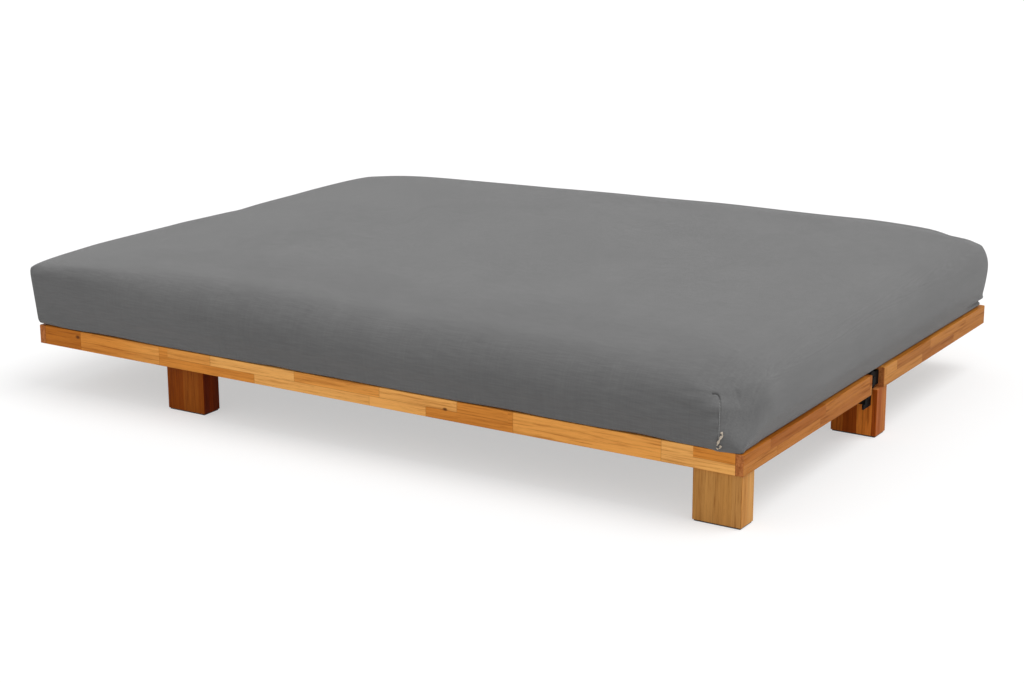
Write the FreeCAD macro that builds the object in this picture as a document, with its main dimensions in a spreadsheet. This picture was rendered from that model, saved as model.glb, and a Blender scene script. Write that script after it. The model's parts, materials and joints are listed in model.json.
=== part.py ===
import FreeCAD, Part
import math
import os
import re
import Sketcher

# Futon bed: a slatted seat frame on legs, a slatted back frame hinged to it, and one futon over both.
# Frame: X along the bed to the right, Y from the front to the back, Z up. The floor is Z = 0.
# The hinge axis lies over the origin, halfway between the two sections.

# Driving sizes in millimetres, angles in degrees
SIZES = {
    # Frame sections
    "frame_length": 1900,
    "section_depth": 650,
    "hinge_gap": 70,
    "rail_height": 46,
    "rail_thickness": 18,
    "wood_edge": 1.5,
    # Legs under the seat section
    "leg_height": 114,
    "leg_width": 110,
    "leg_depth": 56,
    "leg_reveal": 4,
    "left_leg_inset": 379,
    "left_leg_setback": 28,
    "hinge_leg_offset": 7,
    "stretcher_drop": 12,
    "pad_thickness": 3,
    "pad_inset": 3,
    # Blocks and bolts that hold the front legs
    "block_depth": 70,
    "bolt_radius": 4,
    "bolt_head_radius": 7,
    "bolt_head_height": 6,
    "bolt_bite": 45,
    "bolt_spacing": 50,
    # Slats and the ledges that carry them
    "slat_count": 10,
    "slat_width": 95,
    "slat_thickness": 18,
    "slat_edge": 2.5,
    "slat_end_gap": 0.5,
    "ledge_width": 20,
    "ledge_height": 20,
    "ledge_end_gap": 25,
    # Corner dowels
    "dowel_radius": 4,
    "dowel_side_depth": 10,
    "dowel_end_depth": 22,
    "dowel_spacing": 20,
    "hole_end_gap": 0.5,
    # Steel back hinges
    "steel_thickness": 4,
    "running_gap": 0.3,
    "fit_clearance": 0.05,
    "hub_margin": 2,
    "arm_margin": 7,
    "arm_length": 130,
    "flange_width": 50,
    "bracket_margin": 4,
    "bracket_drop": 38,
    "pin_radius": 5,
    "pin_head_radius": 9,
    "pin_head_height": 4,
    # Lock levers
    "lever_reach": 26,
    "lever_bar": 8,
    "lever_heel": 6,
    "lever_tail_drop": 18,
    "lever_tail_width": 10,
    "lever_edge": 0.8,
    "nose_width": 6,
    "nose_height": 4.5,
    "nose_gap": 0.8,
    "notch_width": 9.5,
    "notch_depth": 5.5,
    "lever_pin_radius": 3,
    "lever_pin_head_radius": 5.5,
    "fold_angle": 75,
    # Screws
    "screw_radius": 2.5,
    "screw_head_radius": 4.5,
    "screw_tip_radius": 3.2,
    "screw_head_height": 2.5,
    "screw_bite": 9,
    "screw_first": 14,
    "screw_pitch": 22,
    # Folding rear legs
    "rear_leg_inset": 379,
    "rear_leg_setback": 36,
    "rear_leg_round": 20,
    "stirrup_thickness": 3,
    "stirrup_half_depth": 17,
    "stirrup_drop": 15,
    "rear_block_front": 34,
    # Futon
    "futon_overhang": 14,
    "futon_height": 186,
    "futon_edge": 60,
    "futon_draw": 5,
    "fold_margin": 1,
}

# The futon's level outlines from underside to crown, each with its height as a share of the futon's height,
# its inset as shares of the edge size and of the crown's half depth, its corner radius as a share of its
# half depth and the share it takes of the draw between the corners
LEVEL_SHARES = (
    (0.0, 0.35, 0.0, 0.045, 0.4),
    (0.032, 0.18, 0.0, 0.048, 0.6),
    (0.08, 0.08, 0.0, 0.05, 0.8),
    (0.19, 0.02, 0.0, 0.053, 1.0),
    (0.4, 0.0, 0.0, 0.053, 1.0),
    (0.59, 0.025, 0.0, 0.056, 1.0),
    (0.7, 0.08, 0.0, 0.065, 0.9),
    (0.77, 0.18, 0.0, 0.085, 0.7),
    (0.81, 0.33, 0.0, 0.12, 0.5),
    (0.845, 0.55, 0.0, 0.2, 0.3),
    (0.87, 0.55, 0.04, 0.33, 0.2),
    (0.9, 0.55, 0.1, 0.5, 0.1),
    (0.93, 0.55, 0.22, 0.68, 0.05),
    (0.96, 0.55, 0.38, 0.8, 0.03),
    (0.98, 0.55, 0.56, 0.88, 0.02),
    (0.995, 0.55, 0.76, 0.93, 0.01),
    (1.0, 0.55, 0.95, 0.95, 0.01),
)

# Places worked out from the sizes
HALF = "(frame_length / 2)"
INNER = "(frame_length / 2 - rail_thickness)"
FRONT = "(-hinge_gap / 2 - section_depth)"
REAR = "(hinge_gap / 2 + section_depth)"
RAIL_TOP = "(leg_height + rail_height)"
SLAT_BOTTOM = "(leg_height + rail_height - slat_thickness)"
PIVOT_Z = "(leg_height + rail_height / 2)"
END_LEG_INNER = "(frame_length / 2 - leg_reveal - leg_width)"
LEFT_LEG_X = "(-frame_length / 2 + left_leg_inset)"
REAR_LEG_INNER = "(frame_length / 2 - rear_leg_inset - leg_width)"
REAR_LEG_BACK = "(hinge_gap / 2 + section_depth - rear_leg_setback)"
REAR_PIVOT_Y = f"({REAR_LEG_BACK} - leg_depth + rear_leg_round)"
REAR_PIVOT_Z = "(leg_height - stirrup_thickness - running_gap - rear_leg_round)"
STIRRUP_WIDTH = "(leg_width + 2 * running_gap + 2 * stirrup_thickness)"
ARM_HEIGHT = "(rail_height - 2 * arm_margin)"
HUB_RADIUS = "(rail_height / 2 - hub_margin)"
WEB_OUTER = "(frame_length / 2 - rail_thickness - running_gap)"
WEB_INNER = f"({WEB_OUTER} - steel_thickness)"
LEVER_PIN_DROP = f"({HUB_RADIUS} + nose_gap + nose_height + lever_bar / 2)"
STRETCHER_Y = "(hinge_leg_offset + (leg_depth - rail_thickness) / 2)"
STRETCHER_Z = "(leg_height - stretcher_drop - rail_height)"

SIDES = {"right": 1, "left": -1}
OUTWARD_TURNS = {"right": "x", "left": "-x"}
LOCK_POSITIONS = ("bed", "lounger", "sofa")
AXIS_TURNS = {
    "x": FreeCAD.Rotation(FreeCAD.Vector(0, 1, 0), 90),
    "-x": FreeCAD.Rotation(FreeCAD.Vector(0, 1, 0), -90),
    "y": FreeCAD.Rotation(FreeCAD.Vector(1, 0, 0), -90),
    "-y": FreeCAD.Rotation(FreeCAD.Vector(1, 0, 0), 90),
    "z": FreeCAD.Rotation(),
}

doc = FreeCAD.newDocument("FutonBed")
sheet = doc.addObject("Spreadsheet::Sheet", "Sizes")
for row, (alias, value) in enumerate(SIZES.items(), start=1):
    sheet.set(f"A{row}", alias)
    sheet.set(f"B{row}", str(value))
    sheet.setAlias(f"B{row}", alias)
doc.recompute()

NODES = []
ALIAS = re.compile(r"\b(" + "|".join(sorted(SIZES, key=len, reverse=True)) + r")\b")


def bound(text):
    """The same formula with every size read from the sheet."""
    return ALIAS.sub(r"Sizes.\1", text)


def number(text):
    """The value of a formula of sizes."""
    return float(sheet.evalExpression(bound(text)))


def bind(item, **formulas):
    """Tie properties of an object to formulas of sizes."""
    for name, text in formulas.items():
        item.setExpression(name, bound(text))


def place(item, at, axis="z"):
    """Tie an object's position to three formulas, with its own Z turned to an axis."""
    item.Placement = FreeCAD.Placement(FreeCAD.Vector(), AXIS_TURNS[axis])
    for letter, text in zip("xyz", at):
        item.setExpression(f"Placement.Base.{letter}", bound(text))


def keep(item, label):
    """Name a finished sub-part and list it for export."""
    item.Label = label
    NODES.append(item)
    return item


def across(side, inner, width):
    """Lowest X of a piece that starts at inner on the right, or its mirror image on the left."""
    return inner if SIDES[side] > 0 else f"-({inner}) - ({width})"


def outward(side, point):
    """A distance from the middle of the bed as an X on one side."""
    return point if SIDES[side] > 0 else f"-({point})"


def plane(body, role):
    """One of a body's own origin planes or axes."""
    return next(item for item in body.Origin.OriginFeatures if item.Role == role)


def new_body(name):
    """An empty body."""
    return doc.addObject("PartDesign::Body", name)


def add_box(body, name, size, at, cut=False):
    """A block added to a body, or cut from it."""
    kind = "PartDesign::SubtractiveBox" if cut else "PartDesign::AdditiveBox"
    block = body.newObject(kind, name)
    bind(block, Length=size[0], Width=size[1], Height=size[2])
    place(block, at)
    return block


def add_rod(body, name, radius, length, axis, at, cut=False):
    """A round bar added to a body, or cut from it as a hole."""
    kind = "PartDesign::SubtractiveCylinder" if cut else "PartDesign::AdditiveCylinder"
    rod = body.newObject(kind, name)
    bind(rod, Radius=radius, Height=length)
    place(rod, at, axis)
    return rod


def ease_edges(body, base, radius, edges=None):
    """Round the edges of a body's feature, all of them unless some are named."""
    fillet = body.newObject("PartDesign::Fillet", body.Name + "_eased")
    fillet.Base = (base, edges or [])
    fillet.UseAllEdges = edges is None
    bind(fillet, Radius=radius)
    return fillet


def timber(label, size, at, edge="wood_edge", holes=()):
    """A straight piece of wood with eased edges and any drilled holes."""
    body = new_body(label)
    block = add_box(body, label + "_stock", size, at)
    ease_edges(body, block, edge)
    for index, hole in enumerate(holes):
        add_rod(body, f"{label}_hole_{index}", *hole, cut=True)
    return keep(body, label)


def rod(name, radius, length, axis, at):
    """A free-standing round bar."""
    item = doc.addObject("Part::Cylinder", name)
    bind(item, Radius=radius, Height=length)
    place(item, at, axis)
    return item


def joined(name, pieces):
    """Several overlapping pieces as one solid."""
    item = doc.addObject("Part::MultiFuse", name)
    item.Shapes = pieces
    return item


def group(label, pieces):
    """Identical loose pieces in one sub-part."""
    item = doc.addObject("Part::Compound", label)
    item.Links = pieces
    return keep(item, label)


def rails_of(section, names, faces, mortise):
    """The four rails of a section: two cross rails between two full-depth side rails."""
    cross_size = (f"2 * {INNER}", "rail_thickness", "rail_height")
    for name, face in zip(names, faces):
        doweled = not (mortise and face == faces[0])
        holes = []
        if doweled:
            for height in dowel_heights():
                middle = f"{face} + rail_thickness / 2"
                depth = "dowel_end_depth + hole_end_gap"
                holes.append((DOWEL_HOLE, depth, "x", (f"-{INNER}", middle, height)))
                holes.append((DOWEL_HOLE, depth, "x", (f"{INNER} - ({depth})", middle, height)))
        holes += RAIL_SCREW_HOLES.get(name, [])
        timber(name, cross_size, (f"-{INNER}", face, "leg_height"), holes=holes)
    for side in SIDES:
        label = f"{section}_side_rail_{side}"
        near = FRONT if section == "seat" else "hinge_gap / 2"
        holes = []
        for face in faces[1:] if mortise else faces:
            for height in dowel_heights():
                depth = "dowel_side_depth + hole_end_gap"
                start = across(side, INNER, depth)
                holes.append((DOWEL_HOLE, depth, "x", (start, f"{face} + rail_thickness / 2", height)))
        holes += SIDE_SCREW_HOLES.get(label, [])
        body = timber(
            label,
            ("rail_thickness", "section_depth", "rail_height"),
            (across(side, INNER, "rail_thickness"), near, "leg_height"),
            holes=holes,
        )
        if mortise:
            add_box(
                body,
                label + "_mortise",
                ("steel_thickness", "arm_length", ARM_HEIGHT),
                (across(side, INNER, "steel_thickness"), near, "leg_height + arm_margin"),
                cut=True,
            )


def dowel_heights():
    """The two heights of the dowels in a rail."""
    return [f"{PIVOT_Z} + dowel_spacing / 2", f"{PIVOT_Z} - dowel_spacing / 2"]


def dowels_of(section, faces):
    """Two dowels in each corner where a cross rail meets a side rail."""
    pieces = []
    for face in faces:
        for side in SIDES:
            for height in dowel_heights():
                length = "dowel_side_depth + dowel_end_depth"
                start = across(side, f"{INNER} - dowel_end_depth", length)
                at = (start, f"{face} + rail_thickness / 2", height)
                pieces.append(rod(f"{section}_dowel_{len(pieces)}", "dowel_radius", length, "x", at))
    return pieces


def slats_of(section, near):
    """Evenly spaced slats from the front rail to the rear rail of a section."""
    length = "section_depth - 2 * rail_thickness - 2 * slat_end_gap"
    start = f"{near} + rail_thickness + slat_end_gap"
    for index in range(int(number("slat_count"))):
        middle = f"-{INNER} + 2 * {INNER} / slat_count * ({index} + 1 / 2)"
        timber(
            f"{section}_slat_{index + 1:02d}",
            ("slat_width", length, "slat_thickness"),
            (f"{middle} - slat_width / 2", start, SLAT_BOTTOM),
            edge="slat_edge",
        )


def ledges_of(section, rows):
    """Ledges along the cross rails, in runs between the leg blocks."""
    pieces = []
    for face, runs in rows:
        for low, high in runs:
            ledge = doc.addObject("Part::Box", f"{section}_ledge_{len(pieces)}")
            bind(ledge, Length=f"({high}) - ({low})", Width="ledge_width", Height="ledge_height")
            place(ledge, (low, face, f"{SLAT_BOTTOM} - ledge_height"))
            pieces.append(ledge)
    group(f"{section}_slat_ledges", pieces)


def screw(name, turn, at):
    """A domed screw driven along a turned axis from the point under its head."""
    head = doc.addObject("Part::Cone", name + "_head")
    shank = doc.addObject("Part::Cylinder", name + "_shank")
    bind(head, Radius1="screw_tip_radius", Radius2="screw_head_radius", Height="screw_head_height")
    bind(shank, Radius="screw_radius", Height="steel_thickness + screw_bite + screw_head_height / 2")
    letter = "xyz".index(turn[-1])
    back = "+" if turn.startswith("-") else "-"
    for item, rise in ((head, "screw_head_height"), (shank, "screw_head_height / 2")):
        point = list(at)
        point[letter] = f"{at[letter]} {back} {rise}"
        place(item, point, turn)
    return joined(name, [head, shank])


def screw_hole(turn, at):
    """The clearance hole through the steel and the pilot hole in the wood for a screw."""
    return (SCREW_HOLE, "steel_thickness + screw_bite + hole_end_gap", turn, at)


DOWEL_HOLE = "dowel_radius + fit_clearance"
SCREW_HOLE = "screw_radius + fit_clearance"
PIN_HOLE = "pin_radius + fit_clearance"
LEVER_PIN_HOLE = "lever_pin_radius + fit_clearance"
BOLT_HOLE = "bolt_radius + fit_clearance"

# Screw places: two through each flange, and two along each hinge arm
FLANGE_STEPS = ("screw_first", "screw_first + screw_pitch")
ARM_STEPS = ("rail_thickness + screw_first", "rail_thickness + screw_first + screw_pitch")
BRACKET_SCREWS = []
ARM_SCREWS = []
RAIL_SCREW_HOLES = {"seat_hinge_rail": [], "back_hinge_rail": []}
SIDE_SCREW_HOLES = {}
LEG_SCREW_HOLES = {}
BRACKET_HOLES = {}
ARM_HOLES = {}
for side in SIDES:
    rail_screws = []
    leg_screws = []
    flange_screws = []
    for step in FLANGE_STEPS:
        x = outward(side, f"({WEB_INNER} - ({step}))")
        rail_screws.append(("-y", (x, "-hinge_gap / 2 + steel_thickness", PIVOT_Z)))
        leg_screws.append(("y", (x, "hinge_leg_offset - steel_thickness", "leg_height - bracket_drop / 2")))
        flange_screws.append(("y", (x, "hinge_gap / 2 - steel_thickness", PIVOT_Z)))
    arm_screws = []
    for step in ARM_STEPS:
        at = (outward(side, INNER), f"hinge_gap / 2 + {step}", PIVOT_Z)
        arm_screws.append((OUTWARD_TURNS[side], at))
    BRACKET_SCREWS += rail_screws + leg_screws
    ARM_SCREWS += flange_screws + arm_screws
    RAIL_SCREW_HOLES["seat_hinge_rail"] += [screw_hole(*spec) for spec in rail_screws]
    RAIL_SCREW_HOLES["back_hinge_rail"] += [screw_hole(*spec) for spec in flange_screws]
    SIDE_SCREW_HOLES[f"back_side_rail_{side}"] = [screw_hole(*spec) for spec in arm_screws]
    LEG_SCREW_HOLES[side] = [screw_hole(*spec) for spec in leg_screws]
    BRACKET_HOLES[side] = [screw_hole(*spec) for spec in rail_screws + leg_screws]
    ARM_HOLES[side] = [screw_hole(*spec) for spec in flange_screws + arm_screws]

# Seat and back frames
SEAT_FACES = (FRONT, "(-hinge_gap / 2 - rail_thickness)")
BACK_FACES = ("(hinge_gap / 2)", f"({REAR} - rail_thickness)")
rails_of("seat", ("seat_front_rail", "seat_hinge_rail"), SEAT_FACES, mortise=False)
rails_of("back", ("back_hinge_rail", "back_top_rail"), BACK_FACES, mortise=True)
slats_of("seat", FRONT)
slats_of("back", "hinge_gap / 2")

LEDGE_END = f"({INNER} - ledge_end_gap)"
REAR_BLOCK_INNER = f"({REAR_LEG_INNER} - running_gap - stirrup_thickness)"
REAR_BLOCK_OUTER = f"({REAR_BLOCK_INNER} + {STIRRUP_WIDTH})"
WHOLE_RUN = [(f"-{LEDGE_END}", LEDGE_END)]
FRONT_RUNS = [(f"-{LEDGE_END}", LEFT_LEG_X), (f"{LEFT_LEG_X} + leg_width", END_LEG_INNER)]
TOP_RUNS = [
    (f"-{LEDGE_END}", f"-{REAR_BLOCK_OUTER}"),
    (f"-{REAR_BLOCK_INNER}", REAR_BLOCK_INNER),
    (REAR_BLOCK_OUTER, LEDGE_END),
]
ledges_of(
    "seat",
    [(f"{FRONT} + rail_thickness", FRONT_RUNS), (f"{SEAT_FACES[1]} - ledge_width", WHOLE_RUN)],
)
ledges_of(
    "back",
    [(f"{BACK_FACES[0]} + rail_thickness", WHOLE_RUN), (f"{BACK_FACES[1]} - ledge_width", TOP_RUNS)],
)

# Front legs, each bolted up into a block in the corner of the seat frame
LEG_SIZE = ("leg_width", "leg_depth", "leg_height - pad_thickness")
FRONT_LEGS = {
    "right": (
        END_LEG_INNER,
        f"({FRONT} + leg_reveal)",
        f"({FRONT} + (rail_thickness + leg_reveal + leg_depth) / 2)",
    ),
    "left": (
        LEFT_LEG_X,
        f"({FRONT} + left_leg_setback)",
        f"({FRONT} + left_leg_setback + leg_depth / 2)",
    ),
}
BLOCK_WIDTHS = {"right": f"{INNER} - {END_LEG_INNER}", "left": "leg_width"}
BLOCK_HEIGHT = "(rail_height - slat_thickness)"
blocks = []
bolts = []
for side, (leg_x, leg_y, bolt_y) in FRONT_LEGS.items():
    block = new_body(f"front_leg_block_{side}")
    add_box(
        block,
        block.Name + "_stock",
        (BLOCK_WIDTHS[side], "block_depth", BLOCK_HEIGHT),
        (leg_x, f"{FRONT} + rail_thickness", "leg_height"),
    )
    leg_holes = []
    for way in (-1, 1):
        x = f"({leg_x} + ({BLOCK_WIDTHS[side]}) / 2 + {way} * bolt_spacing / 2)"
        foot = "leg_height - bolt_bite"
        shoulder = f"{SLAT_BOTTOM} - bolt_head_height"
        leg_holes.append((BOLT_HOLE, "bolt_bite", "z", (x, bolt_y, foot)))
        name = f"{side}_{'inner' if way < 0 else 'outer'}"
        way_hole = (BOLT_HOLE, BLOCK_HEIGHT, "z", (x, bolt_y, "leg_height"))
        add_rod(block, f"bolt_way_{name}", *way_hole, cut=True)
        sink = ("bolt_head_radius + fit_clearance", "bolt_head_height", "z", (x, bolt_y, shoulder))
        add_rod(block, f"bolt_sink_{name}", *sink, cut=True)
        length = f"{SLAT_BOTTOM} - ({foot})"
        shank = rod(f"bolt_shank_{name}", "bolt_radius", length, "z", (x, bolt_y, foot))
        head = rod(f"bolt_head_{name}", "bolt_head_radius", "bolt_head_height", "z", (x, bolt_y, shoulder))
        bolts.append(joined(f"leg_bolt_{name}", [shank, head]))
    blocks.append(block)
    timber(f"front_leg_{side}", LEG_SIZE, (leg_x, leg_y, "pad_thickness"), holes=leg_holes)
group("front_leg_blocks", blocks)
group("front_leg_bolts", bolts)

# Hinge legs under the gap, and the stretcher dowelled between them
hinge_leg_dowels = []
STRETCHER_HEIGHTS = [f"{STRETCHER_Z} + rail_height / 2 {sign} dowel_spacing / 2" for sign in "+-"]
STRETCHER_MIDDLE = f"{STRETCHER_Y} + rail_thickness / 2"
stretcher_holes = []
for side in SIDES:
    inner_x = across(side, END_LEG_INNER, "leg_width")
    dowel_length = "2 * dowel_end_depth"
    hole_length = "dowel_end_depth + hole_end_gap"
    leg_holes = list(LEG_SCREW_HOLES[side])
    for height in STRETCHER_HEIGHTS:
        start = across(side, f"{END_LEG_INNER} - dowel_end_depth", dowel_length)
        name = f"stretcher_dowel_{side}_{len(hinge_leg_dowels)}"
        at = (start, STRETCHER_MIDDLE, height)
        hinge_leg_dowels.append(rod(name, "dowel_radius", dowel_length, "x", at))
        leg_start = across(side, END_LEG_INNER, hole_length)
        leg_holes.append((DOWEL_HOLE, hole_length, "x", (leg_start, STRETCHER_MIDDLE, height)))
        end_start = across(side, f"{END_LEG_INNER} - ({hole_length})", hole_length)
        stretcher_holes.append((DOWEL_HOLE, hole_length, "x", (end_start, STRETCHER_MIDDLE, height)))
    timber(f"hinge_leg_{side}", LEG_SIZE, (inner_x, "hinge_leg_offset", "pad_thickness"), holes=leg_holes)
timber(
    "leg_stretcher",
    (f"2 * {END_LEG_INNER}", "rail_thickness", "rail_height"),
    (f"-{END_LEG_INNER}", STRETCHER_Y, STRETCHER_Z),
    holes=stretcher_holes,
)
group("seat_dowels", dowels_of("seat", SEAT_FACES) + hinge_leg_dowels)
group("back_dowels", dowels_of("back", BACK_FACES[1:]))


def pad(label, leg_x, leg_y):
    """A felt pad under a leg."""
    item = doc.addObject("Part::Box", label)
    bind(item, Length="leg_width - 2 * pad_inset", Width="leg_depth - 2 * pad_inset")
    bind(item, Height="pad_thickness")
    place(item, (f"{leg_x} + pad_inset", f"{leg_y} + pad_inset", "0"))
    return item


pads = [pad(f"front_pad_{side}", leg_x, leg_y) for side, (leg_x, leg_y, _) in FRONT_LEGS.items()]
for side in SIDES:
    pads.append(pad(f"hinge_pad_{side}", across(side, END_LEG_INNER, "leg_width"), "hinge_leg_offset"))
group("seat_leg_pads", pads)


def hinge_bracket(side):
    """The fixed half of a hinge: a web between the seat's hinge rail and the hinge leg, flanged to both."""
    body = new_body(f"hinge_bracket_{side}")
    name = body.Name
    foot = "leg_height - bracket_drop"
    head = f"{RAIL_TOP} - bracket_margin"
    web = ("steel_thickness", "hinge_gap / 2 + hinge_leg_offset", f"({head}) - ({foot})")
    add_box(body, name + "_web", web, (across(side, WEB_INNER, "steel_thickness"), "-hinge_gap / 2", foot))
    flange_x = across(side, f"{WEB_INNER} - flange_width", "flange_width + steel_thickness")
    flange_size = "flange_width + steel_thickness"
    rail_foot = "leg_height + bracket_margin"
    rail_flange = (flange_size, "steel_thickness", "rail_height - 2 * bracket_margin")
    add_box(body, name + "_rail_flange", rail_flange, (flange_x, "-hinge_gap / 2", rail_foot))
    leg_flange = (flange_size, "steel_thickness", "bracket_drop - bracket_margin")
    add_box(body, name + "_leg_flange", leg_flange, (flange_x, "hinge_leg_offset - steel_thickness", foot))
    start = across(side, WEB_INNER, "steel_thickness")
    add_rod(body, name + "_pivot", PIN_HOLE, "steel_thickness", "x", (start, "0", PIVOT_Z), cut=True)
    lever_at = (start, "-lever_reach", f"{PIVOT_Z} - {LEVER_PIN_DROP}")
    add_rod(body, name + "_lever_pivot", LEVER_PIN_HOLE, "steel_thickness", "x", lever_at, cut=True)
    for index, hole in enumerate(BRACKET_HOLES[side]):
        add_rod(body, f"{name}_screw_{index}", *hole, cut=True)
    return keep(body, name)


def hinge_arm(side):
    """The moving half of a hinge: a notched hub, an arm let into the back's side rail and a flange."""
    body = new_body(f"hinge_arm_{side}")
    name = body.Name
    place(body, ("0", "0", PIVOT_Z))
    start = across(side, INNER, "steel_thickness")
    add_rod(body, name + "_hub", HUB_RADIUS, "steel_thickness", "x", (start, "0", "0"))
    arm = ("steel_thickness", "hinge_gap / 2 + arm_length", ARM_HEIGHT)
    add_box(body, name + "_arm", arm, (start, "0", f"-{ARM_HEIGHT} / 2"))
    flange = ("flange_width + steel_thickness", "steel_thickness", ARM_HEIGHT)
    flange_x = across(side, f"{INNER} - flange_width", "flange_width + steel_thickness")
    flange_at = (flange_x, "hinge_gap / 2 - steel_thickness", f"-{ARM_HEIGHT} / 2")
    add_box(body, name + "_flange", flange, flange_at)
    add_rod(body, name + "_pivot", PIN_HOLE, "steel_thickness", "x", (start, "0", "0"), cut=True)
    for index, (radius, length, axis, at) in enumerate(ARM_HOLES[side]):
        local = (at[0], at[1], f"{at[2]} - {PIVOT_Z}")
        add_rod(body, f"{name}_screw_{index}", radius, length, axis, local, cut=True)
    notch_size = ("steel_thickness", "notch_width", "notch_depth + hub_margin")
    notch_at = (start, "-notch_width / 2", f"-{HUB_RADIUS} - hub_margin")
    notch = add_box(body, name + "_notch", notch_size, notch_at, cut=True)
    doc.recompute()
    notches = body.newObject("PartDesign::PolarPattern", name + "_notches")
    notches.Originals = [notch]
    notches.Axis = (plane(body, "X_Axis"), [""])
    notches.Reversed = True
    notches.Occurrences = len(LOCK_POSITIONS)
    bind(notches, Angle="fold_angle")
    body.Tip = notches
    return keep(body, name)


def lock_lever(side):
    """A lever beside the hub, with a nose that drops into a notch and a tail to pull."""
    body = new_body(f"lock_lever_{side}")
    name = body.Name
    start = across(side, INNER, "steel_thickness")
    place(body, (start, "-lever_reach", f"{PIVOT_Z} - {LEVER_PIN_DROP}"))
    half_bar = "lever_bar / 2"
    nose_near = "lever_reach - nose_width / 2"
    nose_far = "lever_reach + nose_width / 2"
    corners = [
        ("-lever_heel", half_bar),
        (nose_near, half_bar),
        (nose_near, f"{half_bar} + nose_height"),
        (nose_far, f"{half_bar} + nose_height"),
        (nose_far, f"-{half_bar}"),
        (half_bar, f"-{half_bar}"),
        ("lever_tail_width - 2 * lever_heel", "-lever_tail_drop"),
        ("-2 * lever_heel", "-lever_tail_drop"),
    ]
    sketch = body.newObject("Sketcher::SketchObject", name + "_outline")
    sketch.AttachmentSupport = [(plane(body, "YZ_Plane"), "")]
    sketch.MapMode = "FlatFace"
    draw_outline(sketch, corners)
    blank = body.newObject("PartDesign::Pad", name + "_blank")
    blank.Profile = sketch
    bind(blank, Length="steel_thickness")
    doc.recompute()
    ease_edges(body, blank, "lever_edge")
    add_rod(body, name + "_pivot", LEVER_PIN_HOLE, "steel_thickness", "x", ("0", "0", "0"), cut=True)
    return keep(body, name)


def draw_outline(sketch, corners):
    """A closed outline of straight lines whose corners follow formulas of sizes."""
    points = [FreeCAD.Vector(number(across_text), number(up_text), 0) for across_text, up_text in corners]
    count = len(points)
    for index in range(count):
        sketch.addGeometry(Part.LineSegment(points[index], points[(index + 1) % count]))
    for index in range(count):
        sketch.addConstraint(Sketcher.Constraint("Coincident", index, 2, (index + 1) % count, 1))
    for index, formulas in enumerate(corners):
        for kind, text, value in zip(("DistanceX", "DistanceY"), formulas, points[index]):
            rule = sketch.addConstraint(Sketcher.Constraint(kind, -1, 1, index, 1, value))
            sketch.setExpression(f"Constraints[{rule}]", bound(text))


def hinge_pin(name, side, radius, head_radius, y, z):
    """A shouldered pin riveted through the bracket's web and the plate that turns beside it."""
    inner_head = f"({WEB_INNER} - pin_head_height)"
    outer_head = f"({INNER} + steel_thickness + running_gap)"
    length = f"({outer_head} + pin_head_height - {inner_head})"
    pieces = [rod(name + "_shank", radius, length, "x", (across(side, inner_head, length), y, z))]
    for index, head in enumerate((inner_head, outer_head)):
        at = (across(side, head, "pin_head_height"), y, z)
        pieces.append(rod(f"{name}_head_{index}", head_radius, "pin_head_height", "x", at))
    return joined(name, pieces)


# Back hinges: bracket, arm, lever and pins at each end, locked flat, half up or as a sofa
pins = []
for side in SIDES:
    hinge_bracket(side)
    hinge_arm(side)
    lock_lever(side)
    pins.append(hinge_pin(f"pivot_pin_{side}", side, "pin_radius", "pin_head_radius", "0", PIVOT_Z))
    lever_z = f"{PIVOT_Z} - {LEVER_PIN_DROP}"
    lever_pin = ("lever_pin_radius", "lever_pin_head_radius", "-lever_reach", lever_z)
    pins.append(hinge_pin(f"lever_pin_{side}", side, *lever_pin))
group("hinge_pins", pins)
for label, specs in (("bracket_screws", BRACKET_SCREWS), ("arm_screws", ARM_SCREWS)):
    group(label, [screw(f"{label}_{index}", *spec) for index, spec in enumerate(specs)])


def rear_leg(side):
    """A leg that swings on a pin, with its front top edge rounded about the pin."""
    body = new_body(f"rear_leg_{side}")
    leg_x = across(side, REAR_LEG_INNER, "leg_width")
    size = ("leg_width", "leg_depth", "leg_height - pad_thickness - stirrup_thickness - running_gap")
    at = (leg_x, f"{REAR_LEG_BACK} - leg_depth", "pad_thickness")
    stock = add_box(body, body.Name + "_stock", size, at)
    doc.recompute()
    box = stock.Shape.BoundBox
    front_top = [
        f"Edge{index}"
        for index, edge in enumerate(stock.Shape.Edges, start=1)
        if math.isclose(edge.CenterOfMass.y, box.YMin) and math.isclose(edge.CenterOfMass.z, box.ZMax)
    ]
    rounded = ease_edges(body, stock, "rear_leg_round", front_top)
    doc.recompute()
    upright = [
        f"Edge{index}"
        for index, edge in enumerate(rounded.Shape.Edges, start=1)
        if edge.BoundBox.ZLength > box.ZLength / 2
    ]
    ease_edges(body, rounded, "wood_edge", upright)
    pivot = (PIN_HOLE, "leg_width", "x", (leg_x, REAR_PIVOT_Y, REAR_PIVOT_Z))
    add_rod(body, body.Name + "_pivot", *pivot, cut=True)
    return keep(body, body.Name)


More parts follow.
